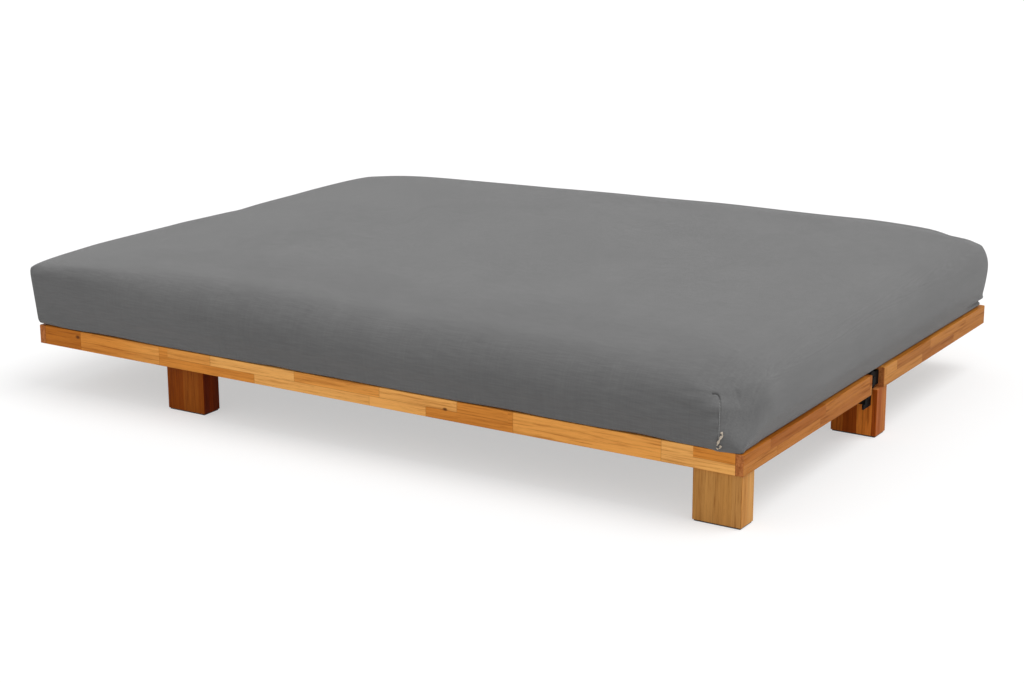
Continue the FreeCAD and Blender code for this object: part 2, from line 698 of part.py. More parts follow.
def stirrup(side):
    """A steel stirrup that holds a rear leg's pin under the back frame."""
    body = new_body(f"stirrup_{side}")
    name = body.Name
    start = across(side, REAR_BLOCK_INNER, STIRRUP_WIDTH)
    front = f"{REAR_PIVOT_Y} - stirrup_half_depth"
    base = (STIRRUP_WIDTH, "leg_depth - rear_leg_round + stirrup_half_depth", "stirrup_thickness")
    add_box(body, name + "_base", base, (start, front, "leg_height - stirrup_thickness"))
    foot = f"({REAR_PIVOT_Z} - stirrup_drop)"
    cheek = ("stirrup_thickness", "2 * stirrup_half_depth", f"leg_height - {foot}")
    for index, offset in enumerate(("0", "leg_width + 2 * running_gap + stirrup_thickness")):
        add_box(body, f"{name}_cheek_{index}", cheek, (f"{start} + {offset}", front, foot))
    pivot = (PIN_HOLE, STIRRUP_WIDTH, "x", (start, REAR_PIVOT_Y, REAR_PIVOT_Z))
    add_rod(body, name + "_pivot", *pivot, cut=True)
    return body


# Folding rear legs: block, stirrup and pin on the back frame, leg and pad swinging below
rear_blocks = []
stirrups = []
rear_pins = []
for side in SIDES:
    start = across(side, REAR_BLOCK_INNER, STIRRUP_WIDTH)
    block_front = f"({REAR_PIVOT_Y} - rear_block_front)"
    block = doc.addObject("Part::Box", f"rear_leg_block_{side}")
    bind(block, Length=STIRRUP_WIDTH, Width=f"{BACK_FACES[1]} - {block_front}", Height=BLOCK_HEIGHT)
    place(block, (start, block_front, "leg_height"))
    rear_blocks.append(block)
    stirrups.append(stirrup(side))
    pin_start = f"{start} - pin_head_height"
    pin_length = f"{STIRRUP_WIDTH} + 2 * pin_head_height"
    at = (pin_start, REAR_PIVOT_Y, REAR_PIVOT_Z)
    pieces = [rod(f"rear_pin_{side}_shank", "pin_radius", pin_length, "x", at)]
    for index, x in enumerate((pin_start, f"{start} + {STIRRUP_WIDTH}")):
        at = (x, REAR_PIVOT_Y, REAR_PIVOT_Z)
        pieces.append(rod(f"rear_pin_{side}_head_{index}", "pin_head_radius", "pin_head_height", "x", at))
    rear_pins.append(joined(f"rear_pin_{side}", pieces))
    rear_leg(side)
    leg_x = across(side, REAR_LEG_INNER, "leg_width")
    keep(pad(f"rear_leg_pad_{side}", leg_x, f"{REAR_LEG_BACK} - leg_depth"), f"rear_leg_pad_{side}")
group("rear_leg_blocks", rear_blocks)
group("rear_leg_stirrups", stirrups)
group("rear_leg_pins", rear_pins)


def futon_outline(half_x, half_y, corner, draw, height):
    """A level outline of the futon: round corners joined by sides that draw in between them."""
    cos45 = math.sqrt(0.5)
    edges = []
    for turn in range(4):
        long_x, long_y = (half_x, half_y) if turn % 2 == 0 else (half_y, half_x)
        spin = FreeCAD.Rotation(FreeCAD.Vector(0, 0, 1), 90 * turn)
        side = [(long_x, corner - long_y), (long_x - draw, 0), (long_x, long_y - corner)]
        bend = (long_x - corner + corner * cos45, long_y - corner + corner * cos45)
        end = (long_x - corner, long_y)
        for points in (side, [side[2], bend, end]):
            places = [spin.multVec(FreeCAD.Vector(x, y, height)) for x, y in points]
            edges.append(Part.Arc(*places).toShape())
    return Part.Wire(edges)


def fold_slice(low_y, high_y):
    """A prism across the whole bed between two planes that lean out from the hinge axis."""
    low_z = number(RAIL_TOP)
    high_z = number(f"{RAIL_TOP} + futon_height + futon_edge")
    half_x = number(f"{HALF} + futon_overhang + futon_edge")
    corners = [(low_y, low_z), (high_y, low_z), (high_y, high_z), (low_y, high_z)]
    points = [FreeCAD.Vector(-half_x, edge_y(z), z) for edge_y, z in corners]
    return Part.Face(Part.makePolygon(points + points[:1])).extrude(FreeCAD.Vector(2 * half_x, 0, 0))


def futon_pieces():
    """The crowned futon, cut into its seat half, its back half and the wedge that folds between them."""
    widest_x = number(f"{HALF} + futon_overhang")
    widest_y = number(f"{REAR} + futon_overhang")
    base = number(f"{RAIL_TOP} + running_gap")
    outlines = []
    for height_share, edge_share, crown_share, corner_share, draw_share in LEVEL_SHARES:
        inset = edge_share * number("futon_edge") + crown_share * (widest_y - number("2 * futon_edge"))
        half_y = widest_y - inset
        draw = draw_share * number("futon_draw")
        height = base + height_share * number("futon_height")
        outlines.append(futon_outline(widest_x - inset, half_y, corner_share * half_y, draw, height))
    whole = Part.makeLoft(outlines, True, True)
    lean = math.tan(math.radians(number("fold_angle / 2 + fold_margin")))
    gap = number("running_gap")
    end = number(f"{REAR} + futon_overhang + futon_edge")
    pivot = number(PIVOT_Z)
    wedge = fold_slice(lambda z: (pivot - z) * lean, lambda z: (z - pivot) * lean)
    seat = fold_slice(lambda z: -end, lambda z: (pivot - z) * lean - gap)
    back = fold_slice(lambda z: (z - pivot) * lean + gap, lambda z: end)
    return {"futon_seat_half": seat, "futon_fold": wedge, "futon_back_half": back}, whole


slices, whole_futon = futon_pieces()
for label, part_slice in slices.items():
    item = doc.addObject("Part::Feature", label)
    item.Shape = whole_futon.common(part_slice)
    item.Placement = FreeCAD.Placement()
    keep(item, label)

# Check every object, then write the sub-parts
doc.recompute()
failed = [item.Label for item in doc.Objects if {"Invalid", "Error"} & set(item.State)]
failed += [item.Label for item in NODES if item.Shape.isNull() or not item.Shape.isValid()]
if failed:
    raise RuntimeError("failed objects: " + ", ".join(failed))
os.makedirs("parts", exist_ok=True)
for item in NODES:
    item.Shape.exportStep(f"parts/{item.Label}.step")
print(len(NODES), "sub-parts written")
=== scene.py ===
import json
import math

import bmesh
import bpy
import numpy as np
from mathutils import Matrix, Vector
from mathutils.bvhtree import BVHTree


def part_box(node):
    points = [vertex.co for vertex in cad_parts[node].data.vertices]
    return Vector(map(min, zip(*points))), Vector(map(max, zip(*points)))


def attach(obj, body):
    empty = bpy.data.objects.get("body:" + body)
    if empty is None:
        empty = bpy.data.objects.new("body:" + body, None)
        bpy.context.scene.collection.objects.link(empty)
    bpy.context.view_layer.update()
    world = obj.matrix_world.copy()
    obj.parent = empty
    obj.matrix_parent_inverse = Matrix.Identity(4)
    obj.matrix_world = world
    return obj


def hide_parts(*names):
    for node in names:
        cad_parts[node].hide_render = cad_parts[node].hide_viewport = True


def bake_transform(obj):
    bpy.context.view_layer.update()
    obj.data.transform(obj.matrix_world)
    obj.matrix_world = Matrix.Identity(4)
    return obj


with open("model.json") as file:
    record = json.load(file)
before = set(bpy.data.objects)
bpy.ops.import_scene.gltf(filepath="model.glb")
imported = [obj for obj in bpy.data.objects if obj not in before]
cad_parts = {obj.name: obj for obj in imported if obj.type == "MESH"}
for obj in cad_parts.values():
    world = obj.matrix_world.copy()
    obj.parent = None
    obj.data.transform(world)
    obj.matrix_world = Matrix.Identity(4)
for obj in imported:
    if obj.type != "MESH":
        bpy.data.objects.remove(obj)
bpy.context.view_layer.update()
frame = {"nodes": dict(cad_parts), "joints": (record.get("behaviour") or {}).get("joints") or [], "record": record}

NODES = frame["nodes"]
SIZE_DIGITS = 4

# The camera, from the photograph: metres, degrees, and a focal length in pixels of a 1024 wide image
IMAGE_WIDTH = 1024
FOCAL_PIXELS = 2088.7
SENSOR_WIDTH = 36.0
CAMERA_PLACE = (2.6428, -4.2341, 1.4891)
CAMERA_PITCH = 15.6438
CAMERA_AZIMUTH = 32.1653
CAMERA_ROLL = 0.2323
CAMERA_REACH = 200.0

# Light: the world, a soft key from the right and above, and how much the floor gives back
WHITE = (1.0, 1.0, 1.0, 1.0)
WORLD_STRENGTH = 0.77
KEY_DIRECTION = (0.37, 0.15, 0.91)
KEY_STRENGTH = 1.35
KEY_ANGLE = 40.0
FLOOR_HALF = 40.0
FLOOR_COLOUR = (0.97, 0.97, 0.97, 1.0)
FLOOR_BOUNCE = (0.60, 0.60, 0.60, 1.0)
FLOOR_GLOW_SHARE = 0.5


def frame_box(node):
    """The two corners of a CAD node, to a tenth of a millimetre."""
    return [[round(value, SIZE_DIGITS) for value in corner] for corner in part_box(node)]


# Frame sizes that the looks follow, and the hinge's height and full turn
RAIL_LOW, RAIL_HIGH = frame_box("seat_front_rail")
FLOOR_TO_RAIL = RAIL_LOW[2]
RAIL_TOP = RAIL_HIGH[2]
RAIL_HEIGHT = round(RAIL_TOP - FLOOR_TO_RAIL, SIZE_DIGITS)
HALF_LENGTH = frame_box("seat_side_rail_right")[1][0]
HALF_DEPTH = -RAIL_LOW[1]
FOLD = next(joint for joint in frame["joints"] if joint["name"] == "back_fold")
HINGE_HEIGHT = FOLD["pos_m"][2]
FOLD_ANGLE = math.radians(FOLD["range_deg"][1])


def material(name):
    """A new node material, its tree and its main shader."""
    made = bpy.data.materials.new(name)
    made.use_nodes = True
    return made, made.node_tree, made.node_tree.nodes["Principled BSDF"]


def feed(tree, socket, value):
    """Link a socket to another, or set its value."""
    if isinstance(value, bpy.types.NodeSocket):
        tree.links.new(value, socket)
    else:
        socket.default_value = value


def dress(tree, node, inputs):
    """Set or link inputs of a node."""
    for key, value in inputs.items():
        feed(tree, node.inputs[key], value)


def add(tree, kind, inputs=None, **settings):
    """A node with its settings, and each input set to a value or linked to a socket."""
    node = tree.nodes.new(kind)
    for key, value in settings.items():
        setattr(node, key, value)
    dress(tree, node, inputs or {})
    return node


def maths(tree, operation, first, second=0.0):
    """One arithmetic step."""
    node = add(tree, "ShaderNodeMath", {0: first, 1: second}, operation=operation)
    return node.outputs[0]


def times(tree, first, second):
    """The product of two values."""
    return maths(tree, "MULTIPLY", first, second)


def total(tree, *values):
    """The sum of several values."""
    result = values[0]
    for value in values[1:]:
        result = maths(tree, "ADD", result, value)
    return result


def weighted(tree, values, shares):
    """The sum of several values, each times its share."""
    return total(tree, *[times(tree, value, share) for value, share in zip(values, shares)])


def ramp(tree, factor, stops):
    """A colour ramp through (position, colour) stops."""
    node = add(tree, "ShaderNodeValToRGB", {"Fac": factor})
    elements = node.color_ramp.elements
    while len(elements) < len(stops):
        elements.new(1.0)
    for element, (position, colour) in zip(elements, stops):
        element.position = position
        element.color = (*colour, 1.0)
    return node.outputs["Color"]


def span(tree, value, low, high, to_low=0.0, to_high=1.0):
    """A value carried smoothly from one range to another, and held inside it."""
    numbers = {"Value": value, "From Min": low, "From Max": high, "To Min": to_low, "To Max": to_high}
    node = add(tree, "ShaderNodeMapRange", numbers, interpolation_type="SMOOTHSTEP")
    return node.outputs["Result"]


def blended(tree, factor, first, second, mode="MIX"):
    """Two colours mixed."""
    inputs = {"Factor": factor, "A": first, "B": second}
    return add(tree, "ShaderNodeMix", inputs, data_type="RGBA", blend_type=mode).outputs["Result"]


def point(tree, x, y, z):
    """Three values as a vector."""
    return add(tree, "ShaderNodeCombineXYZ", {"X": x, "Y": y, "Z": z}).outputs[0]


def stretched(tree, place, rates):
    """A place with each of its values times a rate, as a vector."""
    return point(tree, *[times(tree, value, rate) for value, rate in zip(place, rates)])


def noise(tree, vector, scale=1.0, detail=4.0, roughness=0.55, distortion=0.0):
    """Fractal noise at a place."""
    numbers = {"Vector": vector, "Scale": scale, "Detail": detail}
    numbers.update({"Roughness": roughness, "Distortion": distortion})
    return add(tree, "ShaderNodeTexNoise", numbers).outputs["Fac"]


def bump(tree, shader, height, distance, strength=1.0):
    """Relief on a shader."""
    node = add(tree, "ShaderNodeBump", {"Height": height, "Distance": distance, "Strength": strength})
    tree.links.new(node.outputs["Normal"], shader.inputs["Normal"])


def parts_of(tree, vector):
    """The three values of a vector."""
    return list(add(tree, "ShaderNodeSeparateXYZ", {0: vector}).outputs)


def place_of(tree):
    """X, Y and Z of a point in the part's frame."""
    return parts_of(tree, add(tree, "ShaderNodeTexCoord").outputs["Object"])


def facing_of(tree):
    """X, Y and Z of a point's normal in the part's frame."""
    return parts_of(tree, add(tree, "ShaderNodeTexCoord").outputs["Normal"])


def chances(tree, cells):
    """The chance values of a texture's cells."""
    return add(tree, "ShaderNodeSeparateColor", {0: cells.outputs["Color"]}).outputs


# Noise of each look: how often it changes in a metre, detail, roughness and distortion
GRAIN_NOISE = (1.0, 4.0, 0.6, 0.5)
SPECK_NOISE = (900.0, 3.0)
PAINT_NOISE = (60.0, 4.0)
FIBRE_NOISE = (1400.0, 6.0, 0.7, 1.5)
SLUB_NOISE = (1.0, 4.0, 0.6)
PICK_NOISE = (1.0, 3.0, 0.6)
CLOUD_NOISE = (5.0, 3.0)
TWIST_NOISE = (1500.0, 2.0)
NOISE_BAND = (0.3, 0.7)

# Relief of each look: its height in metres and its strength
WOOD_RELIEF = (0.0003, 0.6)
PAINT_RELIEF = (0.0002, 0.5)
FELT_RELIEF = (0.0006, 0.8)
COVER_RELIEF = (0.0004, 0.5)
THREAD_RELIEF = (0.0002, 0.6)

# Wood tones from the darkest stave to the palest
FRONT_TONES = [
    (0.0, (0.56, 0.181, 0.020)),
    (0.02, (0.74, 0.272, 0.043)),
    (0.25, (0.80, 0.310, 0.054)),
    (0.6, (0.90, 0.395, 0.088)),
    (1.0, (0.97, 0.485, 0.136)),
]
SIDE_TONES = [
    (0.0, (0.32, 0.088, 0.006)),
    (0.25, (0.39, 0.118, 0.011)),
    (0.6, (0.45, 0.150, 0.018)),
    (1.0, (0.53, 0.205, 0.036)),
]
BACK_TONES = [
    (0.0, (0.38, 0.125, 0.014)),
    (0.25, (0.45, 0.165, 0.022)),
    (0.6, (0.52, 0.205, 0.034)),
    (1.0, (0.60, 0.265, 0.060)),
]
PALE_TONES = [(0.0, (0.55, 0.36, 0.18)), (0.5, (0.64, 0.44, 0.24)), (1.0, (0.72, 0.52, 0.31))]
END_TONES = [(0.3, (0.37, 0.12, 0.032)), (0.55, (0.54, 0.19, 0.055)), (0.8, (0.64, 0.26, 0.09))]
JOINT_COLOUR = (0.24, 0.07, 0.012, 1.0)
KNOT_COLOUR = (0.10, 0.028, 0.006, 1.0)

# Grain: how often it changes along and across the wood, per metre, and how it shades the colour
FIGURE_RATE = (2.2, 55.0)
STREAK_RATE = (8.0, 210.0)
PORE_RATE = (34.0, 760.0)
FIGURE_SHADES = [(0.28, (0.80, 0.73, 0.66)), (0.48, (0.98, 0.97, 0.96)), (0.72, (1.06, 1.06, 1.05))]
STREAK_SHADES = [(0.30, (0.64, 0.53, 0.43)), (0.47, (0.98, 0.97, 0.96)), (0.72, (1.09, 1.09, 1.08))]
PORE_SHADES = [(0.30, (0.80, 0.74, 0.68)), (0.45, (1.0, 1.0, 1.0)), (0.75, (1.04, 1.04, 1.04))]

# Oiled surface: roughness of each wood, how much duller its streaks are, and its shine
RAIL_ROUGHNESS = 0.42
LEG_ROUGHNESS = 0.45
SLAT_ROUGHNESS = 0.58
STREAK_DULLNESS = 0.12
OILED_SHINE = 0.07

# End grain: growth rings per metre, and how squarely a face has to look along the wood to show them
FINE_RINGS = 260.0
BROAD_RINGS = 60.0
END_FACING = (0.55, 0.8)


def grain(tree, along, across, deep, shift):
    """Broad figure, streaks and pores of wood at a place, each a value about one half."""
    layers = []
    for lengthwise, crosswise in (FIGURE_RATE, STREAK_RATE, PORE_RATE):
        place = point(
            tree,
            times(tree, along, lengthwise),
            total(tree, times(tree, across, crosswise), shift),
            times(tree, deep, crosswise),
        )
        layers.append(noise(tree, place, *GRAIN_NOISE))
    return layers


def end_grain(tree, colour, facing, place):
    """Growth rings over a wood colour, where the wood is cut across."""
    cut = span(tree, maths(tree, "ABSOLUTE", facing), *END_FACING)
    return blended(tree, cut, colour, ramp(tree, noise(tree, place), END_TONES))


def finish_wood(tree, shader, colour, layers, roughness):
    """Grain over a wood colour, with an oiled surface."""
    for layer, shades in zip(layers, (FIGURE_SHADES, STREAK_SHADES, PORE_SHADES)):
        colour = blended(tree, 1.0, colour, ramp(tree, layer, shades), "MULTIPLY")
    streaks, pores = layers[1:]
    dress(tree, shader, {
        "Base Color": colour,
        "Roughness": span(tree, streaks, *NOISE_BAND, roughness + STREAK_DULLNESS, roughness),
        "Specular IOR Level": OILED_SHINE,
    })
    bump(tree, shader, total(tree, pores, streaks), *WOOD_RELIEF)


# Rails: staves in two rows or in one, in metres, and how chance moves each row and stave along
STAVE_LENGTH = 0.25
ZONE_LENGTH = 0.5
ONE_ROW_SHARE = 0.38
ROW_SHIFT = 13.7
STAVE_RANDOMNESS = 0.9
STAVE_GRAIN_SHIFT = 40.0
JOINT_LINE = (0.0003, 0.0012)
JOINT_SHARE = 0.35

# The front rail's darker left end: where it ends along the rail, and how the tone moves over it
DRIFT_RUN = (-0.75, -0.55)
FRONT_DRIFT = (-0.4, 0.05)

# Knots in the front rail: place along it, height and size, in metres
FRONT_KNOTS = ((-0.825, 0.146, 0.006), (0.240, 0.139, 0.005))
KNOT_FLATNESS = 0.6
KNOT_CORE_SHARE = 0.3
KNOT_SHARE = 0.85


def lay_staves(tree, along, up, seed):
    """Staves of a rail: the chance values of each, and how far a point is from the nearest joint."""
    row_height = RAIL_HEIGHT / 2
    rows = maths(tree, "DIVIDE", maths(tree, "SUBTRACT", up, FLOOR_TO_RAIL), row_height)
    zone_place = total(tree, maths(tree, "DIVIDE", along, ZONE_LENGTH), seed)
    zone = add(tree, "ShaderNodeTexVoronoi", {"W": zone_place, "Scale": 1.0}, voronoi_dimensions="1D")
    split = maths(tree, "GREATER_THAN", chances(tree, zone)[0], ONE_ROW_SHARE)
    row = times(tree, maths(tree, "FLOOR", rows), split)
    place = total(tree, maths(tree, "DIVIDE", along, STAVE_LENGTH), times(tree, row, ROW_SHIFT), seed)
    numbers = {"W": place, "Scale": 1.0, "Randomness": STAVE_RANDOMNESS}
    staves = add(tree, "ShaderNodeTexVoronoi", numbers, voronoi_dimensions="1D")
    edges = add(tree, "ShaderNodeTexVoronoi", numbers, voronoi_dimensions="1D", feature="DISTANCE_TO_EDGE")
    joint = times(tree, edges.outputs["Distance"], STAVE_LENGTH)
    seam = maths(tree, "ABSOLUTE", maths(tree, "SUBTRACT", rows, 1.0))
    whole = maths(tree, "SUBTRACT", 1.0, split)
    gap = maths(tree, "MINIMUM", joint, total(tree, times(tree, seam, row_height), whole))
    return chances(tree, staves), gap


def add_knots(tree, colour, along, up, knots):
    """Dark knots over a wood colour."""
    for knot_x, knot_z, size in knots:
        side = times(tree, maths(tree, "SUBTRACT", along, knot_x), KNOT_FLATNESS)
        rise = maths(tree, "SUBTRACT", up, knot_z)
        square = total(tree, times(tree, side, side), times(tree, rise, rise))
        dark = span(tree, maths(tree, "SQRT", square), size * KNOT_CORE_SHARE, size, KNOT_SHARE, 0.0)
        colour = blended(tree, dark, colour, KNOT_COLOUR)
    return colour


def rail_wood(name, axis, seed, tones, knots=(), drift=(0.0, 0.0)):
    """Rails glued up from short staves of mixed tone, with end grain at their ends."""
    made, tree, shader = material(name)
    spot = place_of(tree)
    along, deep, up = spot[axis], spot[1 - axis], spot[2]
    tone, gap = lay_staves(tree, along, up, seed)
    shade = total(tree, tone[0], span(tree, along, *DRIFT_RUN, *drift))
    colour = ramp(tree, shade, tones)
    colour = blended(tree, span(tree, gap, *JOINT_LINE, JOINT_SHARE, 0.0), colour, JOINT_COLOUR)
    colour = add_knots(tree, colour, along, up, knots)
    rings = point(tree, times(tree, deep, FINE_RINGS), times(tree, up, BROAD_RINGS), seed)
    colour = end_grain(tree, colour, facing_of(tree)[axis], rings)
    layers = grain(tree, along, up, deep, times(tree, tone[1], STAVE_GRAIN_SHIFT))
    finish_wood(tree, shader, colour, layers, RAIL_ROUGHNESS)
    return made


# Staves over each leg's width and over its depth: where each begins as a share, and its colour; the front left
# leg's colours are darkened as painted shade of its place under the frame, and its side darker still as painted
# shadow
LEG_STAVES_AND_SHADE = {
    "front_leg_right": (
        [(0.0, (0.55, 0.264, 0.071)), (0.46, (0.53, 0.248, 0.064)), (0.80, (0.57, 0.275, 0.078))],
        [(0.0, (0.59, 0.266, 0.064)), (0.45, (0.67, 0.333, 0.094))],
    ),
    "hinge_leg_right": (
        [(0.0, (0.65, 0.180, 0.023)), (0.265, (0.41, 0.084, 0.008)), (0.57, (0.92, 0.286, 0.042)),
         (0.90, (0.45, 0.090, 0.008))],
        [(0.0, (0.42, 0.105, 0.014)), (0.5, (0.48, 0.155, 0.028))],
    ),
    # Front left leg: staves darkened as painted shade under the frame, its side darkest as painted shadow
    "front_leg_left": (
        [(0.0, (0.27, 0.058, 0.002)), (0.44, (0.33, 0.088, 0.0075)), (0.86, (0.29, 0.068, 0.0035))],
        [(0.0, (0.175, 0.020, 0.0003)), (0.35, (0.255, 0.034, 0.0005)), (0.7, (0.197, 0.025, 0.0004))],
    ),
    "hinge_leg_left": (
        [(0.0, (0.44, 0.130, 0.016)), (0.3, (0.36, 0.090, 0.010)), (0.7, (0.50, 0.160, 0.022))],
        [(0.0, (0.40, 0.110, 0.014)), (0.5, (0.46, 0.140, 0.020))],
    ),
}
LEG_SEED = 1.0
SIDE_FACING = (0.6, 0.8)
SLAT_GRAIN_SHIFT = 60.0


def stepped(tree, factor, stops):
    """A ramp of plain steps, one colour for each stave."""
    colour = ramp(tree, factor, stops)
    colour.node.color_ramp.interpolation = "CONSTANT"
    return colour


def leg_wood(name, node, across_staves_and_shade, deep_staves_and_shade):
    """Legs glued up from upright staves, listed over the leg's width and over its depth, with painted shade in the
    front left leg's listed colours.
    """
    made, tree, shader = material(name)
    spot = place_of(tree)
    facing = facing_of(tree)
    low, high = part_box(node)
    shares = []
    for axis in (0, 1):
        offset = maths(tree, "SUBTRACT", spot[axis], low[axis])
        shares.append(maths(tree, "DIVIDE", offset, high[axis] - low[axis]))
    sideways = span(tree, maths(tree, "ABSOLUTE", facing[0]), *SIDE_FACING)
    across = stepped(tree, shares[0], across_staves_and_shade)
    colour = blended(tree, sideways, across, stepped(tree, shares[1], deep_staves_and_shade))
    rings = point(tree, times(tree, spot[0], BROAD_RINGS), times(tree, spot[1], FINE_RINGS), LEG_SEED)
    colour = end_grain(tree, colour, facing[2], rings)
    layers = grain(tree, spot[2], spot[0], spot[1], 0.0)
    finish_wood(tree, shader, colour, layers, LEG_ROUGHNESS)
    return made


def slat_wood(name):
    """Planed softwood slats, blocks and dowels, each of its own tone."""
    made, tree, shader = material(name)
    spot = place_of(tree)
    chance = add(tree, "ShaderNodeObjectInfo").outputs["Random"]
    layers = grain(tree, spot[1], spot[0], spot[2], times(tree, chance, SLAT_GRAIN_SHIFT))
    finish_wood(tree, shader, ramp(tree, chance, PALE_TONES), layers, SLAT_ROUGHNESS)
    return made


# Steel and felt: tones, roughness and shine
# Black paint tones near zero: real black paint, darkened further as painted shade of the deep hinge gap
PAINT_AND_SHADE_TONES = [(0.3, (0.0016, 0.0015, 0.0014)), (0.75, (0.0045, 0.0042, 0.0040))]
PAINT_ROUGHNESS = (0.5, 0.7)
PAINT_SHINE = 0.08
ZINC_TONES = [(0.0, (0.50, 0.51, 0.53)), (1.0, (0.68, 0.69, 0.70))]
ZINC_ROUGHNESS = (0.28, 0.4)
FLAKE_RATE = 700.0
FELT_TONES = [(0.3, (0.018, 0.015, 0.012)), (0.7, (0.075, 0.062, 0.050))]
FELT_SURFACE = {"Roughness": 1.0, "Sheen Weight": 0.3}


def black_steel(name):
    """Black paint on steel, darkened below real paint as painted shade of the hinge gap, slightly rough, worn in
    specks.
    """
    made, tree, shader = material(name)
    place = point(tree, *place_of(tree))
    clouds = noise(tree, place, *PAINT_NOISE)
    dress(tree, shader, {
        "Base Color": ramp(tree, clouds, PAINT_AND_SHADE_TONES),
        "Roughness": span(tree, clouds, *NOISE_BAND, *PAINT_ROUGHNESS),
        "Specular IOR Level": PAINT_SHINE,
    })
    bump(tree, shader, noise(tree, place, *SPECK_NOISE), *PAINT_RELIEF)
    return made


def zinc_steel(name):
    """Bright zinc plating with a faint crystal pattern."""
    made, tree, shader = material(name)
    place = point(tree, *place_of(tree))
    flakes = add(tree, "ShaderNodeTexVoronoi", {"Vector": place, "Scale": FLAKE_RATE})
    shade = chances(tree, flakes)[0]
    dress(tree, shader, {
        "Base Color": ramp(tree, shade, ZINC_TONES),
        "Roughness": span(tree, shade, 0.0, 1.0, *ZINC_ROUGHNESS),
        "Metallic": 1.0,
    })
    return made


def felt(name):
    """Dark pressed felt."""
    made, tree, shader = material(name)
    fibres = noise(tree, point(tree, *place_of(tree)), *FIBRE_NOISE)
    dress(tree, shader, {"Base Color": ramp(tree, fibres, FELT_TONES), **FELT_SURFACE})
    bump(tree, shader, fibres, *FELT_RELIEF)
    return made


# The cover's cloth: its weave in each pair of directions, slubs along the bed and picks across it, per metre
WEAVE_PITCH = 0.0016
WEAVE_RATE = 2 * math.pi / WEAVE_PITCH
WEAVE_PLANES = ((0, 1, 2), (0, 2, 1), (1, 2, 0))
SLUB_RATES = (24.0, 330.0, 330.0)
PICK_RATES = (330.0, 9.0, 9.0)
TINT_SHARES = (0.5, 0.25, 0.25, 0.03)
RELIEF_SHARES = (1.0, 0.9, 0.6)
COVER_TONES = [(0.3, (0.125, 0.125, 0.126)), (0.5, (0.150, 0.150, 0.150)), (0.7, (0.178, 0.178, 0.177))]
COVER_ROUGHNESS = (0.98, 0.86)
COVER_SURFACE = {
    "Specular IOR Level": 0.2,
    "Sheen Weight": 0.35,
    "Sheen Roughness": 0.45,
    "Sheen Tint": (0.75, 0.75, 0.75, 1.0),
}
DARK_THREAD_SHARE = 0.7
THREAD_ROUGHNESS = 0.85


def sewn(tree, name):
    """X, Y and Z of what the cover keeps at each of its points."""
    return parts_of(tree, add(tree, "ShaderNodeAttribute", attribute_name=name).outputs["Vector"])


def cover_cloth(name):
    """Plain woven grey cotton with slubs along the bed, read from where each point of the cover was sewn."""
    made, tree, shader = material(name)
    spot = sewn(tree, "sewn_place")
    facing = sewn(tree, "sewn_facing")
    waves = [maths(tree, "SINE", times(tree, value, WEAVE_RATE)) for value in spot]
    woven = 0.0
    for first, second, face in WEAVE_PLANES:
        crossing = times(tree, waves[first], waves[second])
        share = times(tree, facing[face], facing[face])
        woven = maths(tree, "ADD", woven, times(tree, crossing, share))
    slubs = noise(tree, stretched(tree, spot, SLUB_RATES), *SLUB_NOISE)
    picks = noise(tree, stretched(tree, spot, PICK_RATES), *PICK_NOISE)
    clouds = noise(tree, point(tree, *spot), *CLOUD_NOISE)
    tint = weighted(tree, (slubs, picks, clouds, woven), TINT_SHARES)
    dress(tree, shader, {
        "Base Color": ramp(tree, tint, COVER_TONES),
        "Roughness": span(tree, slubs, *NOISE_BAND, *COVER_ROUGHNESS),
        **COVER_SURFACE,
    })
    bump(tree, shader, weighted(tree, (woven, slubs, picks), RELIEF_SHARES), *COVER_RELIEF)
    return made


def thread(name, colour):
    """Twisted sewing thread."""
    made, tree, shader = material(name)
    twist = noise(tree, point(tree, *place_of(tree)), *TWIST_NOISE)
    darker = tuple(DARK_THREAD_SHARE * value for value in colour)
    stops = list(zip(NOISE_BAND, (darker, colour)))
    dress(tree, shader, {"Base Color": ramp(tree, twist, stops), "Roughness": THREAD_ROUGHNESS})
    bump(tree, shader, twist, *THREAD_RELIEF)
    return made


# Materials on the CAD nodes: each rail's long axis, its seed, its tones and what only it has
RAILS = {
    "front": (0, 3.1, FRONT_TONES, FRONT_KNOTS, FRONT_DRIFT),
    "cross": (0, 41.3, FRONT_TONES),
    "right": (1, 77.4, SIDE_TONES),
    "left": (1, 112.9, SIDE_TONES),
    "back": (1, 64.8, BACK_TONES),
}
WOODS = {name: rail_wood("rail_oak_" + name, *numbers) for name, numbers in RAILS.items()}
LEGS = {node: leg_wood("leg_oak_" + node, node, *staves) for node, staves in LEG_STAVES_AND_SHADE.items()}
SLOT_LOOKS = {
    "slat_wood": slat_wood("slat_pine"),
    "black_steel": black_steel("hinge_black"),
    "zinc_steel": zinc_steel("zinc_plate"),
    "felt": felt("pad_felt"),
}


def look_of(node, slot):
    """The material a CAD node wears."""
    if slot in SLOT_LOOKS:
        return SLOT_LOOKS[slot]
    if slot == "leg_oak":
        return LEGS.get(node, LEGS["hinge_leg_left"])
    if node == "seat_front_rail":
        return WOODS["front"]
    if node == "back_side_rail_right":
        return WOODS["back"]
    for side in ("right", "left"):
        if node.endswith(side):
            return WOODS[side]
    return WOODS["cross"]


for row in frame["record"]["subparts"]:
    mesh = NODES[row["node"]].data
    mesh.materials.clear()
    if row["material_slot"] != "futon_cover":
        mesh.materials.append(look_of(row["node"], row["material_slot"]))

